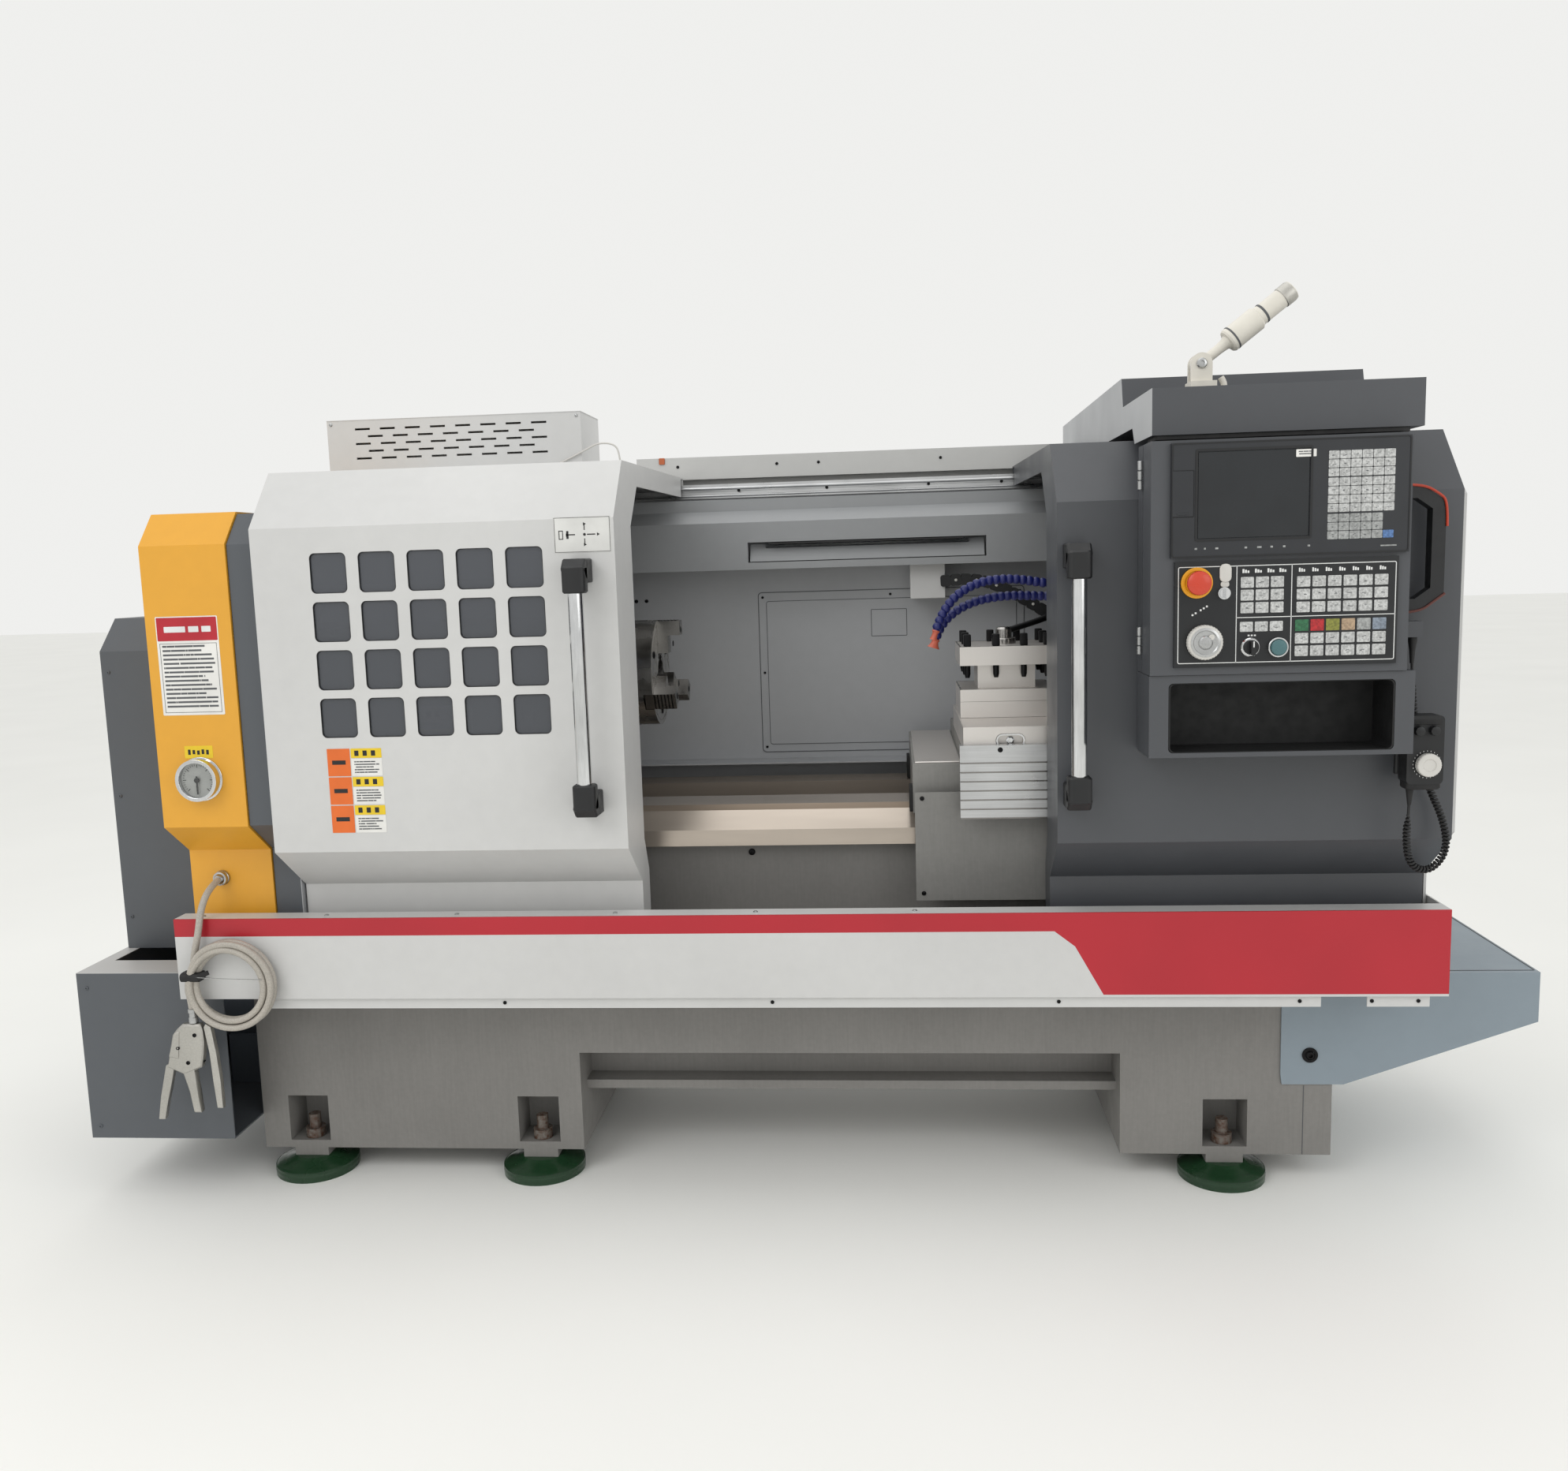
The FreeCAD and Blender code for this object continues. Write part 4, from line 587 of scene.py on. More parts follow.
FINISHES = {
    # powder coats, sprayed and baked
    "cream_powder_coat": (powder_coat, "cream", 0.4),
    "dark_grey_powder_coat": (powder_coat, "dark_grey", 0.38),
    "cover_grey_powder_coat": (powder_coat, "cover_grey", 0.4),
    "yellow_powder_coat": (powder_coat, "yellow", 0.36),
    "wall_grey_powder_coat": (powder_coat, "wall", 0.42),
    "beam_grey_powder_coat": (powder_coat, "beam", 0.42),
    "cabinet_grey_powder_coat": (powder_coat, "cabinet", 0.45),
    "tank_powder_coat": (powder_coat, "tank", 0.45),
    # enamel on castings
    "grey_casting_enamel": (casting_enamel, "casting", 0.5),
    "saddle_casting_enamel": (casting_enamel, "#82817E", 0.42),
    "head_casting_enamel": (casting_enamel, "#8E8D8A", 0.42),
    "motor_casting_enamel": (casting_enamel, "#4E545B", 0.5),
    # machined and plated metals
    "ground_steel": (cut_steel, "#C3BCB4", 0.3, (30, 1, 1)),
    "turned_steel": (cut_steel, "#B2B0AD", 0.24, (1, 8, 8)),
    "hardened_steel": (cut_steel, "#8D8B88", 0.3, (1, 10, 1)),
    "blackened_steel": (cut_steel, "#2A2A2B", 0.42, (1, 1, 10)),
    "cast_pulley_iron": (cut_steel, "#5C5B59", 0.45, (1, 6, 6)),
    "anodised_aluminium": (cut_steel, "#C9CACB", 0.34, (40, 1, 1)),
    "polished_chrome": (cut_steel, "#D9DADB", 0.1, (1, 1, 12), 0.004),
    "bright_zinc": (cut_steel, "#B9BABA", 0.28, (1, 1, 1)),
    "copper_lug": (cut_steel, "#B4694B", 0.35, (4, 1, 1)),
    "die_cast_alloy": (cut_steel, "#BDBBB5", 0.42, (1, 1, 1), 0.12),
    # moulded plastics and rubber
    "black_abs": (moulded, "#141517", 0.45),
    "black_rubber": (moulded, "#111112", 0.6, 0.8, 0.08),
    "lining_black": (moulded, "#0B0C0D", 0.65),
    "overlay_black": (moulded, "#16181B", 0.34, 2.5, 0.02),
    "bezel_grey": (moulded, "#26282C", 0.42),
    "red_abs": (moulded, "#C7402A", 0.28),
    "edge_red_abs": (moulded, "#B83A1E", 0.35),
    "edge_brown_abs": (moulded, "#5A2A22", 0.4),
    "yellow_abs": (moulded, "#E8A31F", 0.32),
    "light_grey_abs": (moulded, "#C9C7C2", 0.35),
    "lamp_cream_abs": (moulded, "#DAD6CC", 0.35),
    "teal_lens": (moulded, "#4A6E72", 0.25),
    "jointed_hose_acetal": (moulded, "hose", 0.38),
    "nozzle_acetal": (moulded, "nozzle", 0.4),
    # printed vinyl and paint marks
    "white_print": (moulded, "#DDDEDD", 0.5, 3.0, 0.02),
    "ink_grey_print": (moulded, "#55575A", 0.55, 3.0, 0.02),
    "ink_black_print": (moulded, "#1B1B1C", 0.5, 3.0, 0.02),
    "label_white_vinyl": (moulded, "#E1E0DC", 0.42, 4.0, 0.02),
    "label_plate_grey": (moulded, "#D6D6D3", 0.35, 4.0, 0.02),
    "label_red_vinyl": (moulded, "#B01E2C", 0.4, 4.0, 0.02),
    "label_yellow_vinyl": (moulded, "#E4C324", 0.4, 4.0, 0.02),
    "label_orange_vinyl": (moulded, "#DD6A26", 0.4, 4.0, 0.02),
    # keys
    "grey_key_silicone": (key_cap, "#C2C3C2"),
    "dim_key_silicone": (key_cap, "#A4A6A5"),
    "blue_key_silicone": (key_cap, "#5A7FB5"),
    "green_key_silicone": (key_cap, "#2F6B48"),
    "red_key_silicone": (key_cap, "#B4262B"),
    "olive_key_silicone": (key_cap, "#8E8F3F"),
    "tan_key_silicone": (key_cap, "#B59C80"),
    "slate_key_silicone": (key_cap, "#8792A0"),
    # two coats on one sheet, parted where the sheets or the stripe meet; on the trunk, the lighter left side
    # is painted light where light falls on it
    "skirt_powder_coat": (skirt_paint, "cream", "red"),
    "guard_powder_coat": (guard_paint, "wall", "cover_grey", "cream"),
    "lidded_powder_coat": (two_tone_and_painted_light, "cover_grey", "#B9BABA", "Z", 0.4702),
    # painted light: the trunk's left side face, before X 0.6466, painted light grey where light falls on it
    "trunk_powder_coat": (two_tone_and_painted_light, "dark_grey", "#A9ABAD", "X", 0.6466, False),
    # iron with bare metal, the hose, and clear or glossy sheets
    "ground_iron_bed": (bed_finish, "casting", "#BDB2A6"),
    "dipped_foot_enamel": (foot_finish, "feet", "#6A655F"),
    "braided_vinyl_hose": (braided_hose, "#B6B0A6"),
    "tinted_polycarbonate": (clear_sheet, "#767A82", 0.03, 0.66),
    "clear_acrylic": (clear_sheet, "#F2F4F4", 0.0),
    "light_diffuser": (clear_sheet, "#B9BCBF", 0.35),
    "display_glass": (dark_glass, "#1A1D20"),
}


def finish(name):
    """The material of that name, made the first time it is asked for. Of its maker's values, hex codes and
    names of the user's colours become linear colours, and the others are passed on as they are."""
    found = bpy.data.materials.get(name)
    if found:
        return found
    colours = bpy.context.scene.lathe_colours
    maker, *values = FINISHES[name]
    for index, value in enumerate(values):
        if isinstance(value, str) and value[0] == "#":
            values[index] = linear(value)
        elif isinstance(value, str) and hasattr(colours, value):
            values[index] = list(getattr(colours, value))
    made = maker(name, *values)
    return made[0] if isinstance(made, tuple) else made


CARRIED_OVER = {
    "skirt_powder_coat": ("chip_tray",),
    "guard_powder_coat": ("splash_guard",),
    "cream_powder_coat": ("left_door", "resistor_box"),
    "dark_grey_powder_coat": ("right_door", "control_cabinet", "panel_door", "storage_pocket"),
    # the trunk's lighter left side is painted light, where light falls on it
    "trunk_powder_coat": ("overhead_trunk",),
    "cover_grey_powder_coat": ("end_cover",),
    "lidded_powder_coat": ("motor_cover",),
    "yellow_powder_coat": ("gearbox_cover",),
    "beam_grey_powder_coat": ("top_beam",),
    "cabinet_grey_powder_coat": ("electrical_cabinet",),
    "tank_powder_coat": ("coolant_tank",),
    "grey_casting_enamel": ("bed_base",),
    "saddle_casting_enamel": ("saddle", "apron_plate"),
    "head_casting_enamel": ("headstock", "tailstock"),
    "motor_casting_enamel": ("spindle_motor",),
    "ground_iron_bed": ("lathe_bed",),
    "dipped_foot_enamel": ("leveling_pads",),
    "anodised_aluminium": ("slat_curtain", "door_rail"),
    "ground_steel": ("cross_slide", "turret_base", "turret", "tailstock_quill"),
    "turned_steel": ("chuck_body", "spindle"),
    "hardened_steel": ("chuck_jaw_1", "chuck_jaw_2", "chuck_jaw_3"),
    "cast_pulley_iron": ("spindle_pulley", "motor_pulley"),
    "tinted_polycarbonate": ("left_door_window",),
    "bezel_grey": ("display_unit",),
    "overlay_black": ("operator_panel",),
    "black_abs": ("bow_handle", "gauge_needle", "pendant"),
    "polished_chrome": ("gauge_body", "key_switch", "air_hose_gland"),
    "lamp_cream_abs": ("lamp_base", "lamp_arm"),
}


class LATHE_OT_finishes(bpy.types.Operator):
    """Give every carried-over CAD node its real finish"""
    bl_idname = "lathe.finishes"
    bl_label = "Finishes"

    def execute(self, context):
        for name, nodes in CARRIED_OVER.items():
            for node in nodes:
                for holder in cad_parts[node].material_slots:
                    holder.material = finish(name)
        return {"FINISHED"}


# ---------------------------------------------------------------- stage

class LATHE_OT_stage(bpy.types.Operator):
    """Pale floor, soft lights and the camera"""
    bl_idname = "lathe.stage"
    bl_label = "Stage"

    def execute(self, context):
        sizes = context.scene.lathe_sizes
        half = sizes.floor_width
        mesh = bpy.data.meshes.new("floor")
        cells = 8
        grid = np.linspace(-half, half, cells + 1)
        across, deep = np.meshgrid(grid, grid)
        points = np.stack([across, deep, np.zeros_like(across)], -1).reshape(-1, 3)
        corner = (np.arange(cells)[:, None] * (cells + 1) + np.arange(cells)).ravel()
        squares = np.stack([corner, corner + 1, corner + cells + 2, corner + cells + 1], -1)
        mesh.from_pydata(points.tolist(), [], squares.tolist())
        floor = bpy.data.objects.new("floor", mesh)
        context.scene.collection.objects.link(floor)
        paint = linear("#F3F3F0")
        made, tree, shader, place = new_surface("pale_studio_floor", paint, 0.0, 0.75)
        tone = mottled(tree, place, paint, 900, 0.985, 1.01)
        tree.links.new(tone, shader.inputs["Base Color"])
        mesh.materials.append(made)
        world = bpy.data.worlds.new("studio")
        world.use_nodes = True
        sky = world.node_tree.nodes["Background"].inputs
        sky["Color"].default_value = linear("#FBFBF9")
        sky["Strength"].default_value = 0.9
        context.scene.world = world
        context.scene.view_settings.view_transform = "Standard"
        for name, spot, size, power, aim in (
                ("key_light", (-2.4, -3.6, 3.9), 2.6, sizes.key_light, (0.0, 0.0, 0.9)),
                ("fill_light", (3.4, -3.2, 2.4), 2.2, sizes.key_light * 0.45, (0.2, 0.0, 0.9)),
                ("top_light", (0.0, 0.2, 4.2), 3.6, sizes.key_light * 0.6, (0.0, 0.0, 0.8))):
            light = bpy.data.lights.new(name, "AREA")
            light.size = size
            light.energy = power
            lamp = bpy.data.objects.new(name, light)
            context.scene.collection.objects.link(lamp)
            back = np.array(spot) - np.array(aim)
            back /= np.linalg.norm(back)
            side = np.cross((0, 0.02, 1), back)
            side /= np.linalg.norm(side)
            stood(lamp, spot, side, np.cross(back, side), back)
        self.place_camera(context, sizes.lens)
        return {"FINISHED"}

    def place_camera(self, context, lens):
        """Camera turned from straight ahead by a yaw, a pitch and a small roll, at a tall worker's eye."""
        yaw, pitch, roll = (math.radians(angle) for angle in (-4.87, 7.48, -1.74))
        ahead = np.array((math.sin(yaw) * math.cos(pitch), math.cos(yaw) * math.cos(pitch), -math.sin(pitch)))
        level = np.array((math.cos(yaw), -math.sin(yaw), 0))
        top = np.cross(level, ahead)
        right = math.cos(roll) * level + math.sin(roll) * top
        up = math.cos(roll) * top - math.sin(roll) * level
        camera = bpy.data.cameras.new("camera")
        camera.lens = lens
        camera.sensor_width = 36
        camera.sensor_fit = "HORIZONTAL"
        seat = bpy.data.objects.new("camera", camera)
        context.scene.collection.objects.link(seat)
        stood(seat, metres((207.7, -2366.3, 1239.8)).tolist(), right, up, -ahead)
        context.scene.camera = seat


# ---------------------------------------------------------------- hoses and cords

AIR_DROP = [(-1131, 57, 655), (-1133, 19, 646), (-1138, -9, 610), (-1143, -16, 563), (-1158, -16, 512)]
AIR_END = [(-1168, -28, 462), (-1165, -24, 436), (-1164, -23, 411)]
PENDANT_ROUTE = [(1093, -60, 1085), (1093, -60, 1035), (1096, -60, 980), (1102, -60, 925), (1112, -60, 870),
                 (1130, -62, 818), (1152, -66, 768), (1158, -74, 716), (1126, -84, 680), (1088, -92, 692),
                 (1080, -92, 742), (1084, -92, 790), (1084, -92, 838)]


def coil_points():
    """Control points of four loose turns: the angle runs on by 30 degrees, and the turns' radius and depth
    move from the outer back to the inner back, the inner front and the outer front of the bundle."""
    step = np.arange(1, 48)
    angle = np.radians(170 + 30 * step)
    turn = step / 12
    radius = np.interp(turn, [0, 0.8, 1.3, 2.7, 3.2, 4], [86, 87, 73, 72, 87, 86])
    depth = np.interp(turn, [0, 1.8, 2.3, 4], [-16, -16, -29.5, -29.5])
    return np.stack([-1083 + radius * np.cos(angle), depth, 464 + radius * np.sin(angle)], -1).tolist()


def jointed_hose(route, thickness, pitch):
    """Jointed hose: its radius swells and narrows once per segment along the line, as ball joints in a
    row do."""
    line, run = spaced(read_line(route), 1.6)
    phase = (run / pitch) % 1
    radius = thickness * (0.74 + 0.30 * np.sin(np.pi * phase) ** 0.6 * (phase < 0.86))
    return carried(line, radius, 14), line


class LATHE_OT_hoses(bpy.types.Operator):
    """Air hose with its coil, curly pendant cord and jointed coolant hoses"""
    bl_idname = "lathe.hoses"
    bl_label = "Hoses and cords"

    def execute(self, context):
        self.air_hose()
        self.pendant_cord(context.scene.lathe_sizes.curl_pitch)
        self.coolant_hoses(context.scene.lathe_sizes.segment_pitch)
        return {"FINISHED"}

    def air_hose(self):
        """Braided hose on its route's spline, with its end nut, its strap, its gland's cuff and a bare
        wire."""
        route = AIR_DROP + coil_points() + AIR_END
        hose = spline_object("air_hose_run", route, 13)
        hose.data.materials.append(finish("braided_vinyl_hose"))
        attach(hose, "machine")
        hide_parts("air_hose", "air_hose_coil")
        length = length_of(read_line(route))
        nut = turned("z", (-1164, -23), [(6.8, 418), (9, 417), (9, 410), (7.4, 409), (7.4, 401), (8.6, 400),
                                         (8.6, 389)], 24)
        fitting = piece("air_hose_fitting", "machine", [nut], "bright_zinc")
        strap = piece("hose_strap", "machine", [box_slab("x", (-38, -6), (473, 491), (-1177, -1139), 8, 1.5),
                drawn_out("y", [(-1142, 490), (-1120, 497), (-1117, 489), (-1142, 478)], (-37, -33), 0.8)],
            "black_rubber")
        cuff = turned("y", (-1131, 655),
            [(7.2, 52), (9, 54), (10.5, 57), (13.5, 58), (14, 66), (15, 67), (15, 72.5)])
        piece("hose_gland_cuff", "machine", [cuff], "bright_zinc", stands_for=("air_hose_gland",))
        wire = carried(
            smooth([(-1143, -37, 484), (-1110, -37, 482), (-1060, -37, 480), (-1012, -37, 479)], 6), 0.8, 6)
        piece("strap_wire", "machine", [wire], "bright_zinc")

    def pendant_cord(self, pitch):
        """Curly cord: a helix about the route's spline, whose radius grows from its straight ends."""
        line, run = spaced(read_line(PENDANT_ROUTE), 0.55)
        length = run[-1]
        swell = np.clip(np.minimum(run - 60, length - 50 - run) / 30, 0, 1)
        swell = swell * swell * (3 - 2 * swell)
        ahead = slopes(line)
        side = np.cross(ahead, (0, 1, 0.02))
        side /= np.linalg.norm(side, axis=1)[:, None]
        over_side = np.cross(side, ahead)
        angle = 2 * np.pi * np.cumsum(np.r_[0, np.diff(run)] * (swell > 0)) / pitch
        circle = np.cos(angle)[:, None] * side + np.sin(angle)[:, None] * over_side
        wound, _ = spaced(line + 4.4 * swell[:, None] * circle, 1.6)
        cord = piece("pendant_curly_cord", "machine", [carried(wound, 2.4, 8, (0.05, 1, 0.1))],
            "black_rubber", stands_for=("pendant_cord",))
        relief_top = piece("cord_relief_top", "machine",
            [turned("z", (1093, -60), [(7.5, 1085), (7.2, 1078), (5.2, 1066), (3.2, 1040)], 20)],
            "black_rubber")
        relief_low = piece("cord_relief_low", "machine",
                           [turned("z", (1084, -92), [(3.2, 800), (5.2, 818), (7, 830), (7.4, 838.5)], 20)],
                           "black_rubber")

    def coolant_hoses(self, pitch):
        """Two jointed hoses on splines, each ending in a nozzle whose radius follows a profile and a
        flare."""
        upper = [(547, 222, 1182), (500, 222, 1190), (440, 219, 1200), (382, 217, 1196), (334, 215, 1172),
                 (303, 213, 1131), (288, 212, 1084)]
        lower = [(547, 258, 1160), (500, 258, 1163), (442, 255, 1166), (386, 252, 1160), (338, 250, 1142),
                 (303, 248, 1110), (289, 247, 1066)]
        shapes = []
        nozzles = []
        for route, flare in ((upper, 1.0), (lower, 1.7)):
            hose_end = np.array(route[-2]) * 0.4 + np.array(route[-1]) * 0.6
            shape, line = jointed_hose(route[:-1] + [hose_end], 9, pitch)
            shapes.append(shape)
            tip = np.linspace(line[-1], route[-1], 9)
            radius = np.array([7, 8, 6, 5.6, 5.6, 5.8, 6.2, 6.8, 7.4]) * np.linspace(1, flare, 9)
            nozzles.append(carried(tip, radius, 16))
        piece("jointed_coolant_hoses", "cross_slide", shapes, "jointed_hose_acetal",
              stands_for=("coolant_hoses",))
        piece("coolant_nozzles", "cross_slide", nozzles, "nozzle_acetal")
        collars = [turned("x", (y, z), [(11, 531), (12.5, 532), (12.5, 546), (10, 548)], 6) for y, z in
                   ((222, 1183), (258, 1160))]
        piece("manifold_collars", "cross_slide", collars, "bright_zinc")


# ---------------------------------------------------------------- left end

class LATHE_OT_end_covers(bpy.types.Operator):
    """Labels and pressure gauge on the yellow cover"""
    bl_idname = "lathe.end_covers"
    bl_label = "End covers"

    def execute(self, context):
        thick = context.scene.lathe_sizes.label_thickness
        face = -8
        piece("notice_plate", "machine",
            [box_slab("y", (-1176, -1054), (990, 1177), (face - thick, face), 2, 0.15)], "label_white_vinyl")
        piece("notice_header", "machine",
              [box_slab("y", (-1174, -1056), (1131, 1175), (face - thick - 0.2, face - 0.2), 1.5, 0.1)],
              "label_red_vinyl")
        bars = [box_slab("y", span, (1147, 1158), (face - thick - 0.5, face - thick - 0.2), 1, 0.1)
                for span in ((-1160, -1118), (-1112, -1092), (-1086, -1068))]
        piece("notice_bars", "machine", bars, "white_print")
        rows = text_lines(-1167, -1062, 1002, 1124, 15, 3)
        frame_line = [(-1171, -1059, 1125.5, 1126.3), (-1171, -1059, 995, 995.8), (-1171, -1170.2, 995, 1126),
                      (-1059.8, -1059, 995, 1126)]
        piece("notice_lines", "machine", [printed("y", rows + frame_line, face - thick)], "ink_grey_print")
        piece("gauge_label", "machine",
            [box_slab("y", (-1141, -1085), (907, 931), (face - thick, face), 1.5, 0.15)],
            "label_yellow_vinyl")
        marks = [(-1134 + 9 * k, -1129 + 9 * k, 914 + k % 2, 924 - k % 3) for k in range(5)]
        piece("gauge_label_marks", "machine", [printed("y", marks, face - thick)], "ink_black_print")
        self.gauge()
        return {"FINISHED"}

    def gauge(self):
        """Dial with ticks on an arc of 270 degrees, a clear glass and a polished bezel."""
        centre, faceplate = (-1112, 867), -21.1
        piece("gauge_dial", "machine",
            [turned("y", centre, [(33.6, -20.1), (33.6, -20.9), (33.2, faceplate)], 48)], "label_white_vinyl")
        angle = np.radians(np.linspace(225, -45, 31))
        ticks = []
        for index, turn in enumerate(angle):
            inner, width = (23.5, 0.7) if index % 5 == 0 else (27, 0.4)
            along_tick = np.array((math.cos(turn), math.sin(turn)))
            across_tick = np.array((-math.sin(turn), math.cos(turn))) * width
            corners = [along_tick * inner - across_tick, along_tick * 30 - across_tick,
                       along_tick * 30 + across_tick, along_tick * inner + across_tick]
            ring = np.array(corners) + centre
            ticks.append(loft([square_to("y", *ring.T, depth) for depth in (faceplate, faceplate - 0.25)]))
        piece("gauge_ticks", "machine", ticks, "ink_black_print")
        piece("gauge_rim", "machine", [hoop("y", centre, 33.4, 40.4, (-31.5, -29.4), 64),
                hoop("y", centre, 36.5, 42.5, (-11.5, -8), 64)], "polished_chrome", soften=0.8)
        piece("gauge_glass", "machine", [turned("y", centre, [(33.4, -28.2), (33.4, -29.4)], 48)],
            "clear_acrylic")


# ---------------------------------------------------------------- doors

class LATHE_OT_doors(bpy.types.Operator):
    """Grips, plates and window edges of the sliding doors"""
    bl_idname = "lathe.doors"
    bl_label = "Doors"

    def execute(self, context):
        thick = context.scene.lathe_sizes.label_thickness
        self.grip("left", -350, "left_door", "left_door_handle")
        self.grip("right", 529, "right_door", "right_door_handle")
        self.windows()
        face = -30
        piece("travel_plate", "left_door",
            [box_slab("y", (-397, -293), (1272, 1336), (face - thick, face), 1, 0.15)], "label_plate_grey")
        arms = [(-348 + s, -347 + s + 14, 1303.2, 1305.2) for s in (-25, 12)]
        arms += [(-341.5, -339.9, 1304 + s, 1304 + s + 10) for s in (-17, 8)]
        arms += [(-388, -386.6, 1296, 1312), (-388, -380, 1310.6, 1312), (-381.4, -380, 1296, 1312),
                 (-388, -380, 1296, 1297.4), (-374, -370, 1297, 1311)]
        arms += [(-396, -294, 1334.2, 1335), (-396, -294, 1273, 1273.8), (-396, -395.2, 1273, 1335),
                 (-294.8, -294, 1273, 1335)]
        heads = [turned("y", spot, [(3.4, face - thick), (3.4, face - thick - 0.25)], 3)
                 for spot in ((-373, 1304), (-316, 1304), (-340.7, 1286), (-340.7, 1323))]
        heads.append(turned("y", (-340.7, 1304.2), [(2.6, face - thick), (2.6, face - thick - 0.25)], 12))
        piece("travel_arrows", "left_door", [printed("y", arms, face - thick), *heads], "ink_black_print")
        self.colour_plates(face, thick)
        for side, centre in (("left_door", -627), ("right_door", 840)):
            piece(side + "_guide_blocks", side, [
                    box_slab("x", (90, 120), (566, 598), (centre + s - 30, centre + s + 30), 6, 1)
                    for s in (-240, 240)], "black_abs")
        return {"FINISHED"}

    def grip(self, side, x, body, node):
        """Chrome bar between two moulded stand-offs, each a slanting foot with a cup round the bar's
        end."""
        feet = []
        for end, outer in ((1214, 1), (843, -1)):
            cup = box_slab("z", (x - 21, x + 21), (-102, -66),
                (min(end - 14 * outer, end + 34 * outer), max(end - 14 * outer, end + 34 * outer)), 9, 3)
            foot = [(-100, end + 30 * outer), (-84, end + 47 * outer), (-30.6, end + 47 * outer),
                    (-30.6, end + 4 * outer), (-70, end + 4 * outer), (-90, end + 14 * outer)]
            feet += [cup, drawn_out("x", foot, (x - 21, x + 21), 3)]
            feet.append(drawn_out("x", [(a + 16, b) for a, b in foot[2:]], (x - 8, x + 8), 1))
        piece(side + "_grip_feet", body, feet, "black_abs", soften=1.2, stands_for=(node,))
        bar = [(13.2, 833), (13.5, 836), (13.5, 1221), (13.2, 1224)]
        piece(side + "_grip_bar", body, [turned("z", (x, -85), bar, 40)], "polished_chrome")
        seams = [hoop("z", (x, -85), 13.4, 15.2, span, 40) for span in ((842, 846), (1211, 1215))]
        piece(side + "_grip_seals", body, seams, "black_rubber")

    def windows(self):
        """Rubber edge round each small pane: a soft-cornered band that lines the opening."""
        edges = []
        for column in range(5):
            for row in range(4):
                left, top = -857 + 92 * column, 1286 - 89.5 * row
                edges.append(outlined("y", (left, left + 69), (top - 74, top), -26.6, 1.1, 3.2, 10))
        piece("window_edges", "left_door", edges, "black_rubber")

    def colour_plates(self, face, thick):
        """Three plain rows: an orange panel with a plain bar, a yellow head and grey bars."""
        orange, yellow, white, marks, lines = [], [], [], [], []
        for row in range(3):
            low = 763 + 54 * row
            orange.append(box_slab("y", (-851, -807), (low, low + 52), (face - thick, face), 1, 0.1))
            yellow.append(box_slab("y", (-805, -746), (low + 34, low + 52), (face - thick, face), 1, 0.1))
            white.append(box_slab("y", (-805, -746), (low, low + 33), (face - thick, face), 1, 0.1))
            marks.append(printed("y", [(-842, -816, low + 22, low + 30)], face - thick))
            marks.append(printed("y", [(-798 + 16 * k, -790 + 16 * k, low + 38, low + 48) for k in range(3)],
                                 face - thick))
            lines += text_lines(-800, -751, low + 4, low + 29, 5, 20 + row)
        piece("door_plate_orange", "left_door", orange, "label_orange_vinyl")
        piece("door_plate_yellow", "left_door", yellow, "label_yellow_vinyl")
        piece("door_plate_white", "left_door", white, "label_white_vinyl")
        piece("door_plate_marks", "left_door", marks, "ink_black_print")
        piece("door_plate_lines", "left_door", [printed("y", lines, face - thick)], "ink_grey_print")


# ---------------------------------------------------------------- work area

def screws(axis, spots, at, radius, rise, outward=-1):
    """Dome-headed screws: one turned head with a socket, repeated at every spot."""
    head = [(radius, at), (radius, at + outward * rise * 0.45), (radius * 0.8, at + outward * rise * 0.85),
            (radius * 0.45, at + outward * rise), (radius * 0.4, at + outward * rise * 0.4)]
    return [turned(axis, spot, head, 14) for spot in spots]


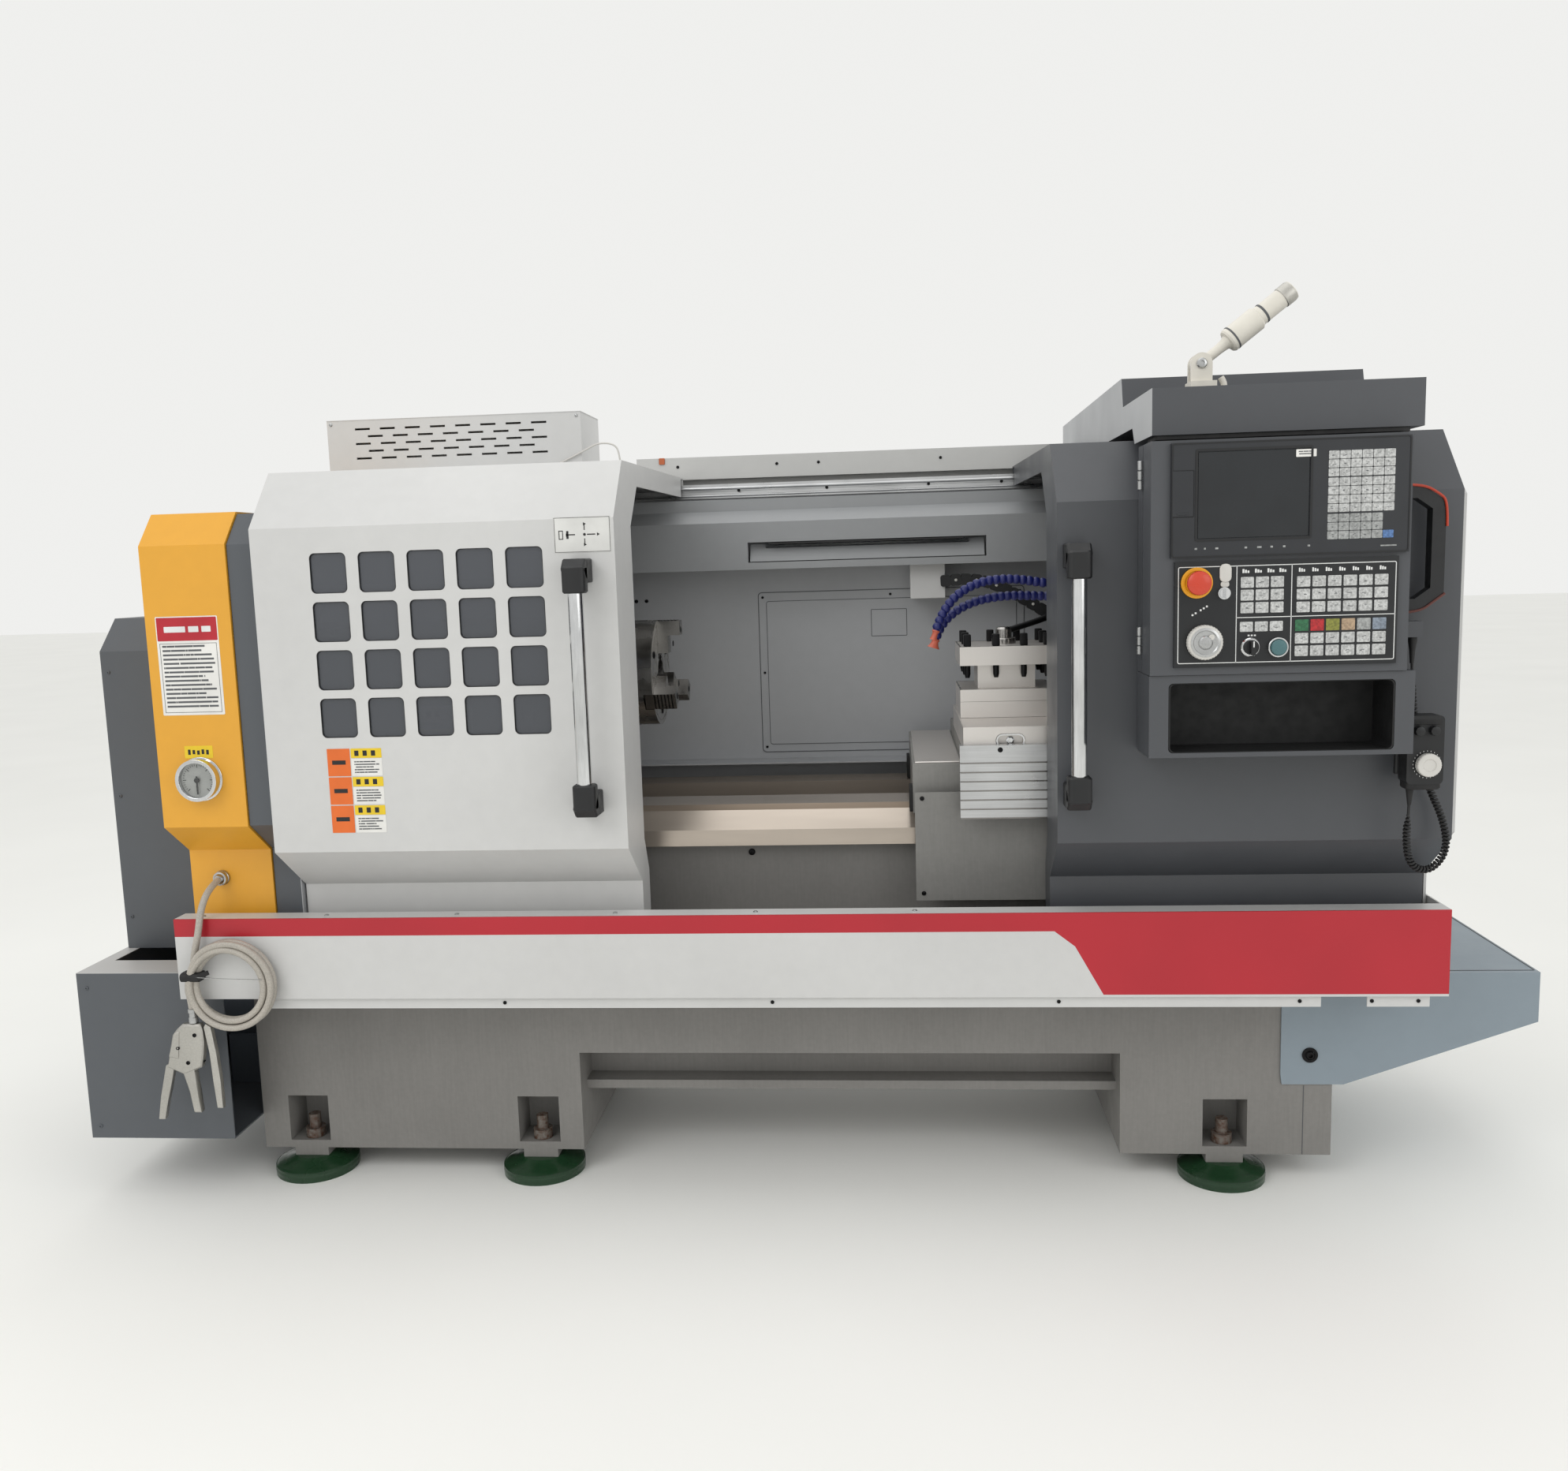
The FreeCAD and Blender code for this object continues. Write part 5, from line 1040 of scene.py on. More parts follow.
class LATHE_OT_work_area(bpy.types.Operator):
    """Hatch, junction box, work light, cable chain and headstock plates"""
    bl_idname = "lathe.work_area"
    bl_label = "Work area"

    def execute(self, context):
        radius = context.scene.lathe_sizes.screw_head
        piece("service_hatch", "machine", [box_slab("y", (-112, 521), (786, 1173), (779.5, 782.2), 8, 0.8),
                                           box_slab("y", (-93, 503), (805, 1152), (777.5, 779.8), 6, 0.8)],
              "wall_grey_powder_coat")
        piece("hatch_seam", "machine", [outlined("y", (-113.5, 522.5), (784.5, 1174.5), 782, 1.6, 1.0, 9),
                                        outlined("y", (-94, 504), (804, 1153), 779.6, 1.4, 1.0, 7),
                                        outlined("y", (158, 244), (1062, 1127), 777.6, 1.5, 0.6, 2)],
              "ink_grey_print")
        piece("hatch_screws", "machine", screws("y",
                [(-102, 1162), (-102, 980), (-102, 798), (205, 1162), (512, 1162), (512, 980)], 779.6,
                radius * 0.7, 2.4) + screws("y", [(-411, 1161), (-386, 1161)], 782, radius, 2.5),
            "blackened_steel")
        piece("junction_box", "machine", [box_slab("y", (253, 331), (1153, 1231), (690, 781.5), 3, 1.5),
                box_slab("y", (251.5, 332.5), (1151.5, 1232), (686, 690.4), 3, 1.2)], "cream_powder_coat")
        self.work_light()
        self.cable_chain()
        self.headstock_plates()
        return {"FINISHED"}

    def work_light(self):
        """Slanting diffuser in the beam's recess, with a black strip over it that is painted shade on the
        recess's top.
        """
        piece("light_diffuser", "machine",
            [drawn_out("x", [(655, 1248), (676, 1248), (684, 1288), (676, 1288)], (-116, 421), 0.5)],
            "beam_grey_powder_coat")
        piece("light_tube", "machine",
            [turned("x", (672, 1284), [(5, -80), (6, -78), (6, 384), (5, 386)], 16)], "light_diffuser")
        # painted shade: a black strip on the recess's top, where shade falls
        piece("light_shade", "machine", [box_slab("y", (-70, 374), (1286.5, 1290.5), (651, 689), 1, 0.4)],
              "black_abs")

    def cable_chain(self):
        """Black band of chain links with a white pin at each joint, hung from the junction box to the
        wall."""
        route = [(333, 690, 1191), (375, 690, 1194), (430, 690, 1188), (505, 690, 1150), (585, 690, 1098),
                 (650, 690, 1048), (706, 690, 1010)]
        line = smooth(route, 22)
        ahead = slopes(line)
        normal = np.cross(ahead, (0, 1, 0))
        links = []
        for spot, way, rise in zip(line, ahead, normal):
            across, up = soft_rectangle(23.5, 27, 6)
            rings = [spot + across[:, None] * way + up[:, None] * rise + np.array((0, depth, 0))
                     for depth in (-13, -12, 12, 13)]
            links.append(loft(rings))
        piece("cable_chain_links", "machine", links, "black_abs")
        pins = [turned("y", (x, z), [(2.6, -13.9 + y), (3.4, -13 + y)], 12) for x, y, z in line[1::2]]
        piece("cable_chain_pins", "machine", pins, "light_grey_abs")
        piece("cable_chain_bracket", "machine", [box_slab("y", (690, 724), (975, 1030), (700, 781.6), 3, 1)],
              "wall_grey_powder_coat")

    def headstock_plates(self):
        """Plain plates, a yellow note and an oil sight tube on the spindle housing's front."""
        face = 215
        piece("head_plates", "machine", [box_slab("y", (-775, -690), (940, 975), (face - 1.2, face), 2, 0.3),
                                         box_slab("y", (-772, -690), (868, 912), (face - 1.2, face), 2, 0.3),
                                         box_slab("y", (-660, -648), (868, 975), (face - 1.2, face), 2, 0.3)],
              "label_white_vinyl")
        piece("head_note", "machine", [box_slab("y", (-772, -690), (913, 927), (face - 1.2, face), 2, 0.3)],
              "label_yellow_vinyl")
        piece("head_print", "machine", [printed("y",
                    text_lines(-766, -698, 874, 908, 4, 5) + [(-745, -735, 952, 964), (-728, -718, 952, 964)],
                    face - 1.2)], "ink_grey_print")
        piece("oil_sight_ends", "machine", [turned("z", (-530, 203), profile, 20)
                for profile in ([(9, 872), (11, 874), (11, 888), (8, 892)],
                    [(8, 948), (11, 952), (11, 966), (9, 968)])], "polished_chrome")
        piece("oil_sight_tube", "machine", [turned("z", (-530, 203), [(7, 888), (7, 952)], 24)],
            "clear_acrylic")
        piece("head_cover_screws", "machine",
            screws("y", [(-930, 1130), (-930, 820), (-470, 1130), (-470, 820)], face, 6, 4),
            "blackened_steel")


# ---------------------------------------------------------------- chuck, slide and tool post

class LATHE_OT_tooling(bpy.types.Operator):
    """Chuck details, tool post bolts, saddle screws and way strips"""
    bl_idname = "lathe.tooling"
    bl_label = "Tooling"

    def execute(self, context):
        self.chuck()
        self.tool_post()
        self.saddle(context.scene.lathe_sizes.screw_head)
        return {"FINISHED"}

    def chuck(self):
        """Band, rings and socket screws of the chuck, and ground teeth on the jaws' steps."""
        piece("chuck_band", "spindle", [hoop("x", CHUCK_CENTRE, 114.3, 115.2, (-412, -394), 96)],
              "polished_chrome", soften=0.3)
        angle = np.radians(150 + 120 * np.arange(3))
        spots = np.array(CHUCK_CENTRE) + 84 * np.stack([np.cos(angle), np.sin(angle)], -1)
        piece("chuck_face_screws", "spindle", screws("x", spots.tolist(), -300.2, 8, 3, outward=1),
            "blackened_steel")
        piece("chuck_face_rings", "spindle", [hoop("x", CHUCK_CENTRE, r, r + 1.2, (-300.2, -299.6), 96)
                                              for r in (38, 66, 104)], "hardened_steel")
        key_holes = []
        for turn in np.radians(30 + 120 * np.arange(3)):
            outward = np.array((0, math.cos(turn), math.sin(turn)))
            sideways = np.array((0, -math.sin(turn), math.cos(turn)))
            spin = np.linspace(0, 2 * np.pi, 20, endpoint=False)[:, None]
            ring = np.cos(spin) * sideways + np.sin(spin) * np.array((1.0, 0, 0))
            rings = [np.array((-357, *CHUCK_CENTRE)) + outward * reach + ring * size
                     for reach, size in ((112, 12), (115.3, 11), (115.3, 8), (113.9, 7))]
            key_holes.append(loft(rings))
        piece("chuck_key_sockets", "spindle", key_holes, "blackened_steel")
        for number in range(3):
            turn = math.radians(120 * number)
            outward = np.array((0, -math.sin(turn), math.cos(turn)))
            sideways = np.array((0, math.cos(turn), math.sin(turn)))
            teeth = []
            for k in range(6):
                base = np.array((-298.5 + 7.4 * k, *CHUCK_CENTRE)) + outward * 111.9
                ring = [(0, -19), (2.6, -19), (2.6, 19), (0, 19)]
                rings = [[base + np.array((a * s + 1.3 * (1 - s), 0, 0)) + sideways * b * s + outward * rise
                          for a, b in ring] for rise, s in ((0, 1), (1.2, 0.92))]
                teeth.append(loft(rings))
            screw_ring = np.linspace(0, 2 * np.pi, 16, endpoint=False)[:, None]
            for reach in (62, 92):
                flat = np.cos(screw_ring) * sideways + np.sin(screw_ring) * outward
                tip = -260 if reach > 70 else -278
                middle = np.array((tip + 8, *CHUCK_CENTRE)) + outward * reach
                teeth.append(loft([middle + flat * size + np.array((depth, 0, 0))
                                   for depth, size in ((-0.2, 6.5), (1.0, 6.2), (1.0, 3.5), (0, 3.2))]))
            piece(f"jaw_teeth_{number + 1}", f"jaw_{number + 1}", teeth, "blackened_steel")

    def tool_post(self):
        """Square-headed clamping bolts through the top plate, and a lever seat on the post's cap."""
        spots = [(360, 316), (418, 316), (474, 316), (521, 316), (360, 477), (418, 477), (474, 477),
            (521, 477), (360, 396), (521, 396)]
        head = box_slab("z", (-7.5, 7.5), (-7.5, 7.5), (1062.2, 1087), 1.5, 1.2)
        shank = turned("z", (0, 0), [(6.2, 1063), (6.2, 1006), (4.4, 998)], 16)
        offsets = [(x, y, 0) for x, y in spots]
        piece("clamping_bolts", "turret", [repeated(head, offsets), repeated(shank, offsets)],
            "blackened_steel")
        cap = [(25, 1062), (25, 1072), (23, 1074), (17, 1074.5), (17, 1092), (14, 1096), (9, 1097)]
        piece("post_nut", "turret", [turned("z", (440.5, 396.5), cap, 48)], "turned_steel")
        lever = carried(smooth([(440.5, 396.5, 1087), (480, 405, 1096), (530, 418, 1112)], 6), 6.5, 16)
        piece("post_lever", "turret", [lever], "blackened_steel")
        piece("post_chamfers", "turret", [outlined("z", (344.2, 536.8), (300.2, 492.8), 1062.6, 3, 0.8, 3),
                                          outlined("z", (344.2, 536.8), (300.2, 492.8), 975.6, 3, 0.8, 3)],
              "hardened_steel")

    def saddle(self, radius):
        """Cover screws, the lubrication window in the slide, slat ribs, way wipers, a top plate and a bed
        bolt.
        """
        piece("apron_screws", "carriage",
            screws("y", [(260, 775), (261, 584), (622, 775), (622, 584)], 172, radius, 3), "blackened_steel")
        piece("strip_screws", "carriage", screws("y", [(410, 875), (505, 875)], 130, 5, 2.5),
            "blackened_steel")
        piece("slide_oil_window", "cross_slide", [outlined("y", (404, 459), (877, 903), 153, 3, 3.5, 12),
                                              turned("y", (431.5, 890), [(8, 161), (8, 156), (5, 154)], 6)],
              "polished_chrome")
        piece("slat_ribs", "carriage", [
                box_slab("z", (334, 559), (129, 131.4), (851 - 18 * k - 2.5, 851 - 18 * k + 0.3), 0.6, 0.3)
                for k in range(7)], "hardened_steel")
        piece("way_wipers", "carriage", [box_slab("x", (205, 268), (742, 790), (236, 243.2), 4, 1),
                                         box_slab("x", (620, 695), (742, 790), (236, 243.2), 4, 1)],
              "black_rubber")
        piece("saddle_top_plate", "carriage", [box_slab("z", (247, 338), (206, 694), (839.5, 843), 3, 1)],
              "ground_steel", soften=0.4)
        piece("bed_bolt", "machine", screws("y", [(-90, 652), (400, 652)], 262, 7, 5), "blackened_steel")


# ---------------------------------------------------------------- control cabinet

def key_field(across, up, columns, rows, gap, face, rise, skip=()):
    """Rows and columns of soft keys that fill a rectangle, less the gap between them; skip leaves places
    bare."""
    pitch = ((across[1] - across[0]) / columns, (up[1] - up[0]) / rows)
    cap = slab("y", (0, 0), (pitch[0] - gap, pitch[1] - gap), (face - rise, face + 0.1), 1.0, 0.3, steps=1)
    spots = [(across[0] + pitch[0] * (c + 0.5), 0, up[1] - pitch[1] * (r + 0.5))
             for r in range(rows) for c in range(columns) if (c, r) not in skip]
    return repeated(cap, spots), spots


def legends(spots, seed, face, reach=4.2):
    """Small printed bars on keys, a seeded handful to each, as worn legends look from a distance."""
    chance = np.random.default_rng(seed)
    bars = []
    for x, _, z in spots:
        for _ in range(2):
            a, b = chance.uniform(-reach, reach * 0.3), chance.uniform(-2.6, 1.6)
            bars.append((x + a, x + a + chance.uniform(1.5, reach), z + b, z + b + 0.9))
    return printed("y", bars, face, 0.12)


class LATHE_OT_display(bpy.types.Operator):
    """Screen, its frame and the data keys"""
    bl_idname = "lathe.display"
    bl_label = "Display"

    def execute(self, context):
        sizes = context.scene.lathe_sizes
        gap, rise = sizes.key_gap * 0.55, sizes.key_rise
        body, face = "panel_door", -159
        piece("screen_glass", body, [box_slab("y", (710, 886), (1261, 1400), (-158.1, -156.8), 1.5, 0.3)],
              "display_glass")
        piece("screen_frame", body, [outlined("y", (705, 891), (1256, 1405), face + 0.1, 3.5, 1.0, 4),
                outlined("y", (667.5, 1044.5), (1230.5, 1415.5), face + 0.1, 2.2, 0.9, 5)], "black_abs")
        piece("port_door", body, [box_slab("y", (668.5, 702.5), (1297, 1371), (face - 1.2, face), 2, 0.7),
                                  box_slab("y", (676, 695), (1300, 1303), (face - 2.4, face - 1), 1, 0.4)],
              "bezel_grey")
        piece("port_seam", body, [outlined("y", (667.6, 703.4), (1296, 1372), face + 0.05, 1, 0.5, 2)],
              "lining_black")
        piece("inspection_tag", body, [box_slab("y", (864, 896), (1387, 1399), (face - 0.5, face), 1, 0.1)],
              "label_white_vinyl")
        piece("tag_print", body, [printed("y", text_lines(867, 894, 1389.5, 1397, 2, 9), face - 0.5)],
              "ink_grey_print")
        signs = [(x, x + w, 1243, 1246) for x,
            w in ((705, 4), (720, 3), (738, 5), (785, 4), (805, 7), (826, 4), (846, 4), (885, 4))]
        piece("screen_signs", body, [printed("y", signs + [(1000, 1025, 1240, 1242.2)], face)],
            "dim_key_silicone")
        fields = [key_field((915, 1020), (1353.5, 1395.5), 6, 3, gap, face, rise),
                  key_field((915, 1020), (1296.5, 1352.5), 6, 4, gap, face, rise)]
        lower, lower_spots = key_field((915, 1020), (1253, 1294.5), 6, 3, gap, face, rise,
                                       skip=((5, 0), (5, 1), (5, 2)))
        piece("data_keys", body, [field for field, _ in fields], "grey_key_silicone")
        piece("data_keys_lower", body, [lower], "dim_key_silicone")
        spots = fields[0][1] + fields[1][1] + lower_spots
        piece("data_key_legends", body, [legends(spots, 11, face - rise, 4)], "ink_grey_print")
        piece("blue_key", body,
            [box_slab("y", (1003, 1019.5), (1253.5, 1266), (face - rise, face + 0.1), 1, 0.3)],
            "blue_key_silicone")
        return {"FINISHED"}


class LATHE_OT_operator_panel(bpy.types.Operator):
    """Keys, frame lines and controls of the operator panel"""
    bl_idname = "lathe.operator_panel"
    bl_label = "Operator panel"

    def execute(self, context):
        sizes = context.scene.lathe_sizes
        gap, rise = sizes.key_gap, sizes.key_rise
        body, face = "panel_door", -156
        lines = [(773.5, 774.7, 1056, 1215), (861.5, 862.7, 1056, 1215), (774, 1027, 1129.4, 1130.6)]
        piece("panel_lines", body, [
                outlined("y", (679.5, 1027.5), (1055.5, 1215.5), face + 0.05, 1.3, 0.3, 3),
                printed("y", lines, face)], "white_print")
        fields = {"a": key_field((779, 851), (1135.5, 1198), 3, 3, gap + 1.4, face, rise),
                  "b": key_field((868.5, 1016.5), (1134.5, 1197), 6, 3, gap + 1.8, face, rise),
                  "c": key_field((778.5, 850.5), (1105, 1124.5), 3, 1, gap + 1.4, face, rise),
                  "d": key_field((867, 1015), (1062.5, 1104), 6, 2, gap + 1.8, face, rise)}
        piece("mode_keys", body, [fields[name][0] for name in "abcd"], "grey_key_silicone")
        spots = [spot for name in "abcd" for spot in fields[name][1]]
        piece("mode_key_legends", body, [legends(spots, 17, face - rise, 6.5)], "ink_grey_print")
        for index, tint in enumerate(("green", "red", "olive", "tan", "dim", "slate")):
            left = 867 + 148 / 6 * index + gap
            piece(f"cycle_key_{tint}", body, [box_slab("y", (left, left + 148 / 6 - 2 * gap),
                        (1105.5, 1124.5), (face - rise, face + 0.1), 1, 0.3)], tint + "_key_silicone")
        icons = [(x + s, x + s + 3, 1203, 1209.5 - s / 3) for x in (783, 803, 823, 842) for s in (0, 4, 8)]
        icons += [(x + s, x + s + 2.6, 1202.5, 1209 - s / 3) for x in np.linspace(873, 1001, 7)
            for s in (0, 3.6, 7.2)]
        icons += [(793 + s, 796 + s, 1099, 1101.5) for s in (0, 5, 10)]
        icons += [(711 + s, 714 + s, 1140 + s * 0.6, 1143 + s * 0.6) for s in (-9, -4, 4, 9, 14)]
        piece("panel_icons", body, [printed("y", icons, face)], "white_print")
        piece("key_tag", body, [box_slab("y", (746, 765), (1189, 1219), (-159, -156), 8, 0.6),
                                box_slab("y", (748, 762), (1181, 1190), (-157.5, -156), 4, 0.4)],
              "light_grey_abs")
        self.controls()
        return {"FINISHED"}

    def controls(self):
        """Stop button in its yellow ring, knurled jog wheel, selector and lit push button."""
        stop, jog, selector, push = (709, 1189), (722, 1091), (797, 1081), (841, 1080)
        piece("stop_ring", "panel_door", [hoop("y", stop, 19.5, 25.4, (-163, -156.5), 64),
                                          hoop("y", stop, 15.6, 25.2, (-161, -156.5), 64)],
              "yellow_abs", soften=0.8)
        cap = [(7.9, -139), (7.9, -168), (13.5, -168.5), (15, -171), (19, -174.5), (20, -178), (19, -181.5),
               (15, -184.2), (7, -185.6), (1, -185.9)]
        piece("stop_mushroom", "e_stop", [turned("y", stop, cap, 48)], "red_abs",
              stands_for=("e_stop_button",))
        rim = [(7.9, -139), (7.9, -157), (27.5, -157.2), (28.8, -159), (28.8, -168), (27.5, -170), (24, -171)]
        crown = [(24.6, -168), (24.2, -171.5), (20.5, -172.4), (19, -171.2), (12, -171), (11, -172.6),
            (9, -174.4), (4, -175), (0.5, -175)]
        piece("jog_rim", "jog_wheel", [turned("y", jog, rim, 144, ripple=0.35, lobes=36)], "light_grey_abs",
              stands_for=("jog_wheel",))
        piece("jog_crown", "jog_wheel", [turned("y", jog, crown, 64)], "bright_zinc")
        piece("jog_finger_cup", "jog_wheel",
            [turned("y", (731, 1100), [(4.4, -171), (4.6, -173.5), (3.4, -173.4), (1, -172.4)], 24)],
            "light_grey_abs")
        ring = [(15.5, -156.2), (15.6, -159.5), (14.2, -161), (12.6, -161.2)]
        piece("selector_ring", "panel_door", [turned("y", selector, ring, 40)], "polished_chrome")
        knob = [(7.9, -139), (7.9, -161), (12, -161.4), (12.4, -166), (11.4, -167.5), (0.5, -168)]
        piece("selector_turn", "selector", [turned("y", selector, knob, 40),
                                            slab("y", selector, (8, 25), (-180, -166), 3.5, 1.4)],
              "black_abs", soften=0.5, stands_for=("selector_knob",))
        piece("selector_pointer", "selector",
            [box_slab("y", (796, 798), (1082, 1092), (-180.4, -179.6), 0.8, 0.1)], "white_print")
        piece("push_ring", "panel_door", [hoop("y", push, 13.2, 16.4, (-163.5, -156.3), 48)],
            "polished_chrome", soften=0.8)
        lens = [(7.9, -139), (7.9, -160), (12.8, -160.4), (12.8, -166.6), (11.4, -168), (8, -168.6),
            (0.5, -168.8)]
        piece("push_lens", "push_button", [turned("y", push, lens, 40)], "teal_lens",
              stands_for=("push_button",))


class LATHE_OT_cabinet_fittings(bpy.types.Operator):
    """Hinges, catches, pocket lining, grip edge and signal lamp trim"""
    bl_idname = "lathe.cabinet_fittings"
    bl_label = "Cabinet fittings"

    def execute(self, context):
        barrels = []
        for low, high in ((1346, 1395), (1067, 1115)):
            third = (high - low) / 3
            for k in range(3):
                a, b = low + third * k + 0.4, low + third * (k + 1) - 0.4
                barrels.append(turned("z", (632, -80), [(4.2, a), (5.4, a + 1), (5.4, b - 1), (4.2, b)], 20))
            barrels.append(box_slab("z", (632, 639), (-77.4, -74), (low + 2, high - 2), 1.2, 0.6))
        piece("cabinet_hinges", "machine", barrels, "bright_zinc")
        catches = []
        for z in (1094, 1368):
            catches += [box_slab("x", (-76, -58), (z - 18, z + 18), (1050.6, 1054.5), 7, 1),
                        turned("x", (-67, z), [(7, 1054), (7.5, 1056), (7.5, 1061), (6, 1063)], 24)]
        piece("cabinet_catches", "machine", catches, "polished_chrome", soften=0.3)
        across, up = soft_rectangle(367, 117, 9, 5)
        outer, inner = ([square_to("y", across * s + 852, up * s + 963, float(y)) for y in depth]
                        for s, depth in ((1.0, (-144.6, -51)), (0.985, (-52.5, -144.6))))
        piece("pocket_lining", "machine", [loft(outer + inner, wrap=True),
                                           loft([square_to("y", across * s + 852, up * s + 963, y)
                                                 for s, y in ((0.99, -53), (0.99, -51.5))])],
              "lining_black")
        piece("panel_gasket", "machine", [outlined("y", (637.5, 1049.5), (1037.5, 1419.5), -79, 5, 1.8, 3)],
              "black_rubber")
        edge = [(1054, -77, 1341), (1095, -77, 1341), (1122, -77, 1325), (1136.5, -77, 1312),
            (1136.5, -77, 1270), (1136.5, -77, 1200), (1136.5, -77, 1158), (1120, -77, 1146),
            (1095, -77, 1127), (1054, -77, 1127)]
        for name, route, material in (("grip_red_edge", edge[:5], "edge_red_abs"),
                                      ("grip_dark_edge", edge[6:], "edge_brown_abs")):
            piece(name, "machine", [carried(smooth(route, 4), 2.2, 10, (0, 1, 0.01))], material)
        self.hood()
        self.signal_lamp()
        return {"FINISHED"}

    def hood(self):
        """Shadow gap seal under the hood and screws along its face."""
        piece("hood_seal", "machine", [box_slab("z", (650, 1060), (-112, -42), (1425, 1433.5), 4, 1)],
            "black_rubber")
        piece("trunk_screws", "machine", screws("z",
                [(680, 230), (1040, 230), (680, 600), (1040, 600), (680, 940), (1040, 940)], 1562, 5, 3,
                outward=1), "bright_zinc")

    def signal_lamp(self):
        """Hinge bolt and nut, prop pipe beside the foot, and the lens with its collars on the arm's
        tube."""
        piece("lamp_bolt", "machine", screws("y", [(742, 1558)], -34, 9, 5)
              + [turned("y", (742, 1558), [(7, -6.2), (7, -1), (5, 0)], 6)], "bright_zinc")
        pipe = carried(smooth([(781, -20, 1510), (783, -20, 1519), (782, -20, 1527), (777, -20, 1535)], 3),
                       5.5, 14)
        foot = turned("z", (781, -20), [(13, 1510.3), (13, 1514), (9, 1516), (7, 1520)], 24)
        piece("lamp_prop", "machine", [pipe, foot], "lamp_cream_abs")
        way = np.array((math.cos(math.radians(37.7)), 0, math.sin(math.radians(37.7))))
        hinge = np.array((742, -20, 1558.0))

        def sleeve(profile):
            """Round section carried along the arm's slant, from pairs of radius and reach from the
            hinge."""
            radius, reach = np.asarray(profile, float).T
            return carried(hinge + reach[:, None] * way, radius, 32)
        piece("lamp_sleeve", "lamp_arm",
            [sleeve([(15, 57), (19, 58), (21, 61), (21, 117), (19, 120), (17.5, 121)])], "lamp_cream_abs")
        piece("lamp_cap", "lamp_arm",
            [sleeve([(17.4, 168), (18.2, 169), (18.2, 186), (17, 189), (12, 189.6)])], "die_cast_alloy")
        piece("lamp_bands", "lamp_arm", [sleeve([(17.2, 128), (17.8, 128.6), (17.8, 131.4), (17.2, 132)]),
                                         sleeve([(20.8, 66), (21.6, 66.6), (21.6, 69), (20.8, 69.6)])],
              "ink_grey_print")
        piece("lamp_elbow", "lamp_arm", [sleeve([(7.4, 14), (8.6, 20), (8.8, 40), (10, 52), (14, 58.5)])],
              "lamp_cream_abs")


# ---------------------------------------------------------------- blow gun and pendant

class LATHE_OT_blow_gun(bpy.types.Operator):
    """Air blow gun with its lever trigger, nozzle and spring"""
    bl_idname = "lathe.blow_gun"
    bl_label = "Blow gun"

    def execute(self, context):
        head = [(-1222, 300), (-1214, 336), (-1206, 366), (-1196, 378), (-1184, 388), (-1148, 388),
            (-1144, 376), (-1143, 350), (-1147, 322), (-1152, 300), (-1172, 291), (-1190, 285)]
        nozzle = [(-1226, 304), (-1206, 312), (-1217, 268), (-1228, 230), (-1238, 192), (-1251, 192),
            (-1243, 240)]
        grip = [(-1194, 302), (-1168, 302), (-1163, 250), (-1161, 207), (-1175, 207), (-1183, 250)]
        rib = [(-1216, 322), (-1200, 372), (-1190, 374), (-1196, 318)]
        piece("blow_gun_body", "machine", [drawn_out("y", head, (-32, -14), 3.5),
                drawn_out("y", nozzle, (-29, -17), 2), drawn_out("y", grip, (-31, -15), 3),
                drawn_out("y", rib, (-33.5, -12.5), 2)], "die_cast_alloy", soften=0.8,
            stands_for=("blow_gun",))
        lever = [(-1138, 388), (-1128, 382), (-1121, 330), (-1117, 270), (-1117, 216), (-1128, 216),
            (-1132, 270), (-1135, 330), (-1142, 382)]
        piece("gun_trigger_lever", "gun_trigger", [drawn_out("y", lever, (-29, -17), 1.5)], "die_cast_alloy",
              soften=0.5, stands_for=("gun_trigger",))
        turns = np.linspace(0, 1, 90)
        spring = np.stack([-1159 + 9 * turns + 3.4 * np.cos(16 * np.pi * turns),
                           -23 + 3.4 * np.sin(16 * np.pi * turns), 302 + 10 * turns], -1)
        piece("gun_spring", "machine", [carried(spring, 0.9, 6, (0.3, 0.2, 1))], "blackened_steel")
        piece("gun_screws", "machine", screws("y", [(-1196, 340), (-1160, 366), (-1178, 310)], -32, 4, 2),
              "blackened_steel")
        return {"FINISHED"}


class LATHE_OT_pendant(bpy.types.Operator):
    """Hand pendant with its dial, scale and holder"""
    bl_idname = "lathe.pendant"
    bl_label = "Pendant"

    def execute(self, context):
        dial = [(5.9, -98), (5.9, -110.6), (18.5, -110.8), (19.8, -112), (19.8, -121), (18.6, -122.6),
            (11, -122.8), (10, -121.4), (0.5, -121.2)]
        piece("pendant_dial_wheel", "pendant_dial",
            [turned("y", (1104, 872), dial, 120, ripple=0.3, lobes=30)], "light_grey_abs",
            stands_for=("pendant_dial",))
        angle = np.radians(np.arange(0, 360, 15))
        ticks = [(1104 + 23 * math.cos(a) - 0.4, 1104 + 23 * math.cos(a) + 0.4, 872 + 23 * math.sin(a) - 1,
                  872 + 23 * math.sin(a) + 1) for a in angle]
        piece("pendant_scale", "machine", [printed("y", ticks, -110)], "white_print")
        knobs = [
            turned("y", (x, 930), [(8, -110), (8.4, -112), (7.6, -121), (5, -122)], 24, ripple=0.3, lobes=8)
            for x in (1088, 1113)]
        piece("pendant_selectors", "machine", knobs, "black_abs")
        piece("pendant_boot", "machine", [slab("z", (1101, -91.5), (58, 35), (828, 846), 7, 3),
                slab("z", (1101, -91.5), (62, 38.5), (938, 950), 8, 2)], "black_rubber",
            soften=0.6)
        piece("pendant_holder", "machine", [box_slab("z", (1066, 1090), (-73.5, -62), (850, 940), 3, 1),
                box_slab("x", (-80, -62), (905, 925), (1066.4, 1092), 3, 1)], "black_abs")
        return {"FINISHED"}


# ---------------------------------------------------------------- base, tank and rear

